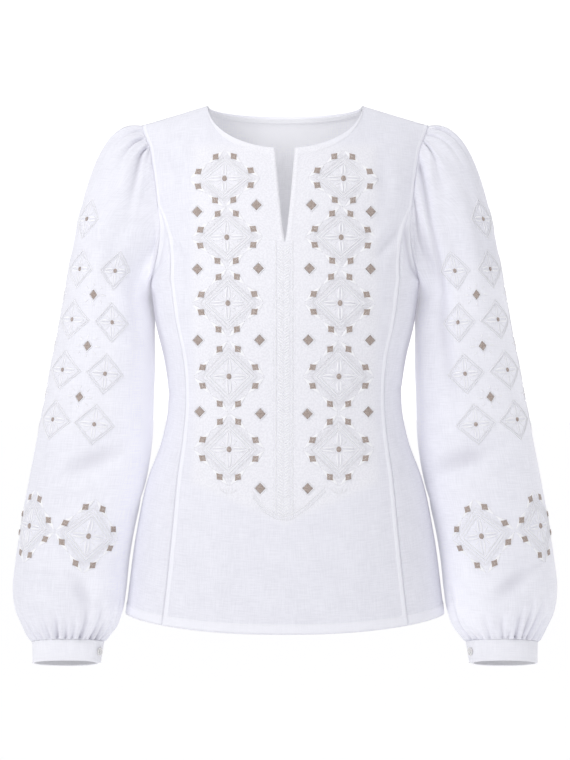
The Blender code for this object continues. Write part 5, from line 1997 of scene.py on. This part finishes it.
def topstitching(name, lines, pitch=0.0030, length=0.0021, thick=0.00045):
    """Rows of stitches along lines, each a pair of points and normals, as one piece."""
    parts, rises = [], []
    for line, normals in lines:
        surface, whole = path_cloth(line, normals)
        middle = np.arange(pitch, whole - pitch / 2, pitch)
        start, end = (np.stack([np.zeros_like(middle), middle + way * length / 2], axis=1)
                      for way in (-1, 1))
        shapes, pattern = spindles(start, end, thick, thick * 0.9, STITCH, around=6)
        ground, normal = surface(shapes[..., 0], shapes[..., 1])
        parts.append((ground + normal * shapes[..., 2:], pattern))
        rises.append(shapes[..., 2].ravel() + STITCH_SHADE_RISE)
    return stitched_piece(name, *joined(parts), np.concatenate(rises), WHITE_THREAD)


def both_sides(line, normals):
    """A line and its mirror image, walked the other way."""
    flip = np.array((-1, 1, 1))
    return [(line, normals), (line[::-1] * flip, normals[::-1] * flip)]


HEM_STITCH = HEM_BAND - 0.0012
hem_lines = []
for grid, sign in ((front_half, 1.0), (side_half, 1.0), (back_half, -1.0)):
    hem_lines += both_sides(*line_on(grid, HEM_STITCH, sign))
topstitching("hem_stitches", hem_lines)

# %% Neckline, slit and cuffs
line, normals = line_on(front_half[::-1, : NECK_COLUMNS + 1], NECK_BAND - 0.0012, -1.0)
neck_lines = both_sides(line[1:-1], normals[1:-1])
neck_corner = line[0, 2]
slit_rows = np.flatnonzero(front_half[:, 0, 0] > 0.0012)
slit_part = front_half[slit_rows[0] :].transpose(1, 0, 2)
line, normals = line_on(slit_part, SLIT_BAND - 0.0010, -1.0)
below = line[:, 2] < neck_corner
neck_lines += both_sides(line[below], normals[below])
line, normals = line_on(back_half[::-1, : NECK_COLUMNS + 1], BACK_NECK_BAND - 0.0010, 1.0)
neck_lines += both_sides(line[1:-1], normals[1:-1])
topstitching("neck_stitches", neck_lines, 0.0028, 0.0019, 0.0004)
CUFF_ACROSS = 133.0  # where stitches cross the cuff and hold its hidden end
cuff_lines = []
cuff_normals = outward_normals(cuff_grid, False)
for share in (0.12, 0.87):
    row = int(share * (CUFF_ROWS - 1))
    cuff_lines += both_sides(cuff_grid[row, 4:-1], cuff_normals[row, 4:-1])
across = int(np.abs(cuff_degrees - CUFF_ACROSS).argmin())
cuff_lines += both_sides(cuff_grid[3:-3, across], cuff_normals[3:-3, across])
topstitching("cuff_stitches", cuff_lines, 0.0026, 0.0018, 0.0004)

# %% [markdown]
# ## The cuffs' buttons
# Each cuff closes with a button of mother of pearl, ten millimetres wide. It is turned, with a
# raised rim round a dished middle, and has four holes, which sink into the dish as steep bells.
# Two pairs of threads hold it to the lap.


# %% The turned button
BUTTON_TURN, BUTTON_HEIGHT, BUTTON_LIFT = 157.0, 0.0018, 0.0033
BUTTON_HOLE, HOLE_PLACE, HOLE_DEPTH, BUTTON_STEPS = 0.00048, 0.0011, 0.0010, 48
DISH = [(r, 0.00045) for r in np.linspace(0, 0.0032, 12)]
BUTTON_RIM = [(0.0036, 0.00062), (0.0040, 0.00086), (0.0044, 0.0009), (0.0047, 0.00078),
              (0.0049, 0.00045), (0.0050, 0.0), (0.0049, -0.00045), (0.0046, -0.0008),
              (0.0040, -0.0009), (0.0020, -0.0009), (0.0, -0.0009)]


def button_frame():
    """The middle of the left button and its three directions, from the cuff's own rings."""
    turn = math.radians(BUTTON_TURN)
    place, beside, under = (
        cuff_ring(share, np.array([at]), BUTTON_LIFT)[0]
        for share, at in ((0.5, turn), (0.5, turn + 0.05), (0.6, turn))
    )
    out = np.cross(beside - place, under - place)
    out /= np.linalg.norm(out)
    right = (place - beside) / np.linalg.norm(place - beside)
    return place + out * BUTTON_HEIGHT / 2, right, np.cross(out, right), out


def button_piece(name, side, material):
    """The profile swept round; above the dish's holes each point is lowered by exp(-(d / r)^4),
    d being its distance from the nearest hole."""
    radius, height = np.array(DISH + BUTTON_RIM).T
    turn = np.arange(BUTTON_STEPS) * (2 * math.pi / BUTTON_STEPS)
    x, y = radius[:, None] * np.cos(turn), radius[:, None] * np.sin(turn)
    away = np.hypot(np.abs(x) - HOLE_PLACE, np.abs(y) - HOLE_PLACE)
    z = np.broadcast_to(height[:, None], x.shape).copy()
    z[: len(DISH)] -= HOLE_DEPTH * np.exp(-((away[: len(DISH)] / BUTTON_HOLE) ** 4))
    centre, right, up, out = button_frame()
    points = centre + x[..., None] * right + y[..., None] * up + z[..., None] * out
    faces = grid_quads(*x.shape, closed=True).tolist()
    points = (points * (side, 1, 1)).reshape(-1, 3)
    return new_piece(name, points, faces, [material], SAME_POINT / 4, closed=True)


def pearl_finish():
    """Mother of pearl: bands of grey, cream and faint green that follow a slow warped noise,
    under a clear polish."""
    material, shader, wire = new_finish("mother of pearl", {
        "Roughness": 0.28, "Specular IOR Level": 0.6, "Coat Weight": 0.4, "Coat Roughness": 0.1,
    })
    place = wire.node("ShaderNodeTexCoord", output=3)
    warp = wire.node("ShaderNodeTexNoise", Vector=place, Scale=260.0, Detail=3.0)
    bands = (warp * 26.0).sine()
    base = bands.step(-0.9, 0.9).between((0.66, 0.66, 0.67), (0.80, 0.78, 0.76))
    tint = warp.step(0.42, 0.62).between((0.66, 0.70, 0.69), (0.80, 0.75, 0.76))
    (bands * 0.25 + 0.35).between(base, tint).feed(shader, "Base Color")
    bump = wire.node("ShaderNodeBump", Height=warp, Strength=0.25, Distance=0.0002)
    bump.feed(shader, "Normal")
    return material


PEARL = pearl_finish()
centre, right, up, out = button_frame()


def on_button(across, along):
    """The plane of the button's dish."""
    ground = centre + across[:, None] * right + along[:, None] * up + out * 0.0005
    return ground, np.broadcast_to(out, ground.shape)


bars = [spindles([(-HOLE_PLACE, y), (-HOLE_PLACE, y + 0.0003)],
                 [(HOLE_PLACE, y + 0.0001), (HOLE_PLACE, y + 0.0004)], 0.0007, 0.0006, BAR)
        for y in (-0.0013, 0.0009)]
for word, side in SIDES.items():
    button = button_piece(f"pearl_button_{word}", side, PEARL)
    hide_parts(f"cuff_button_{word}")
    embroidery_piece(f"button_thread_{word}", bars, on_button, WHITE_THREAD, side=side)
print("button:", len(button.data.polygons), "faces")
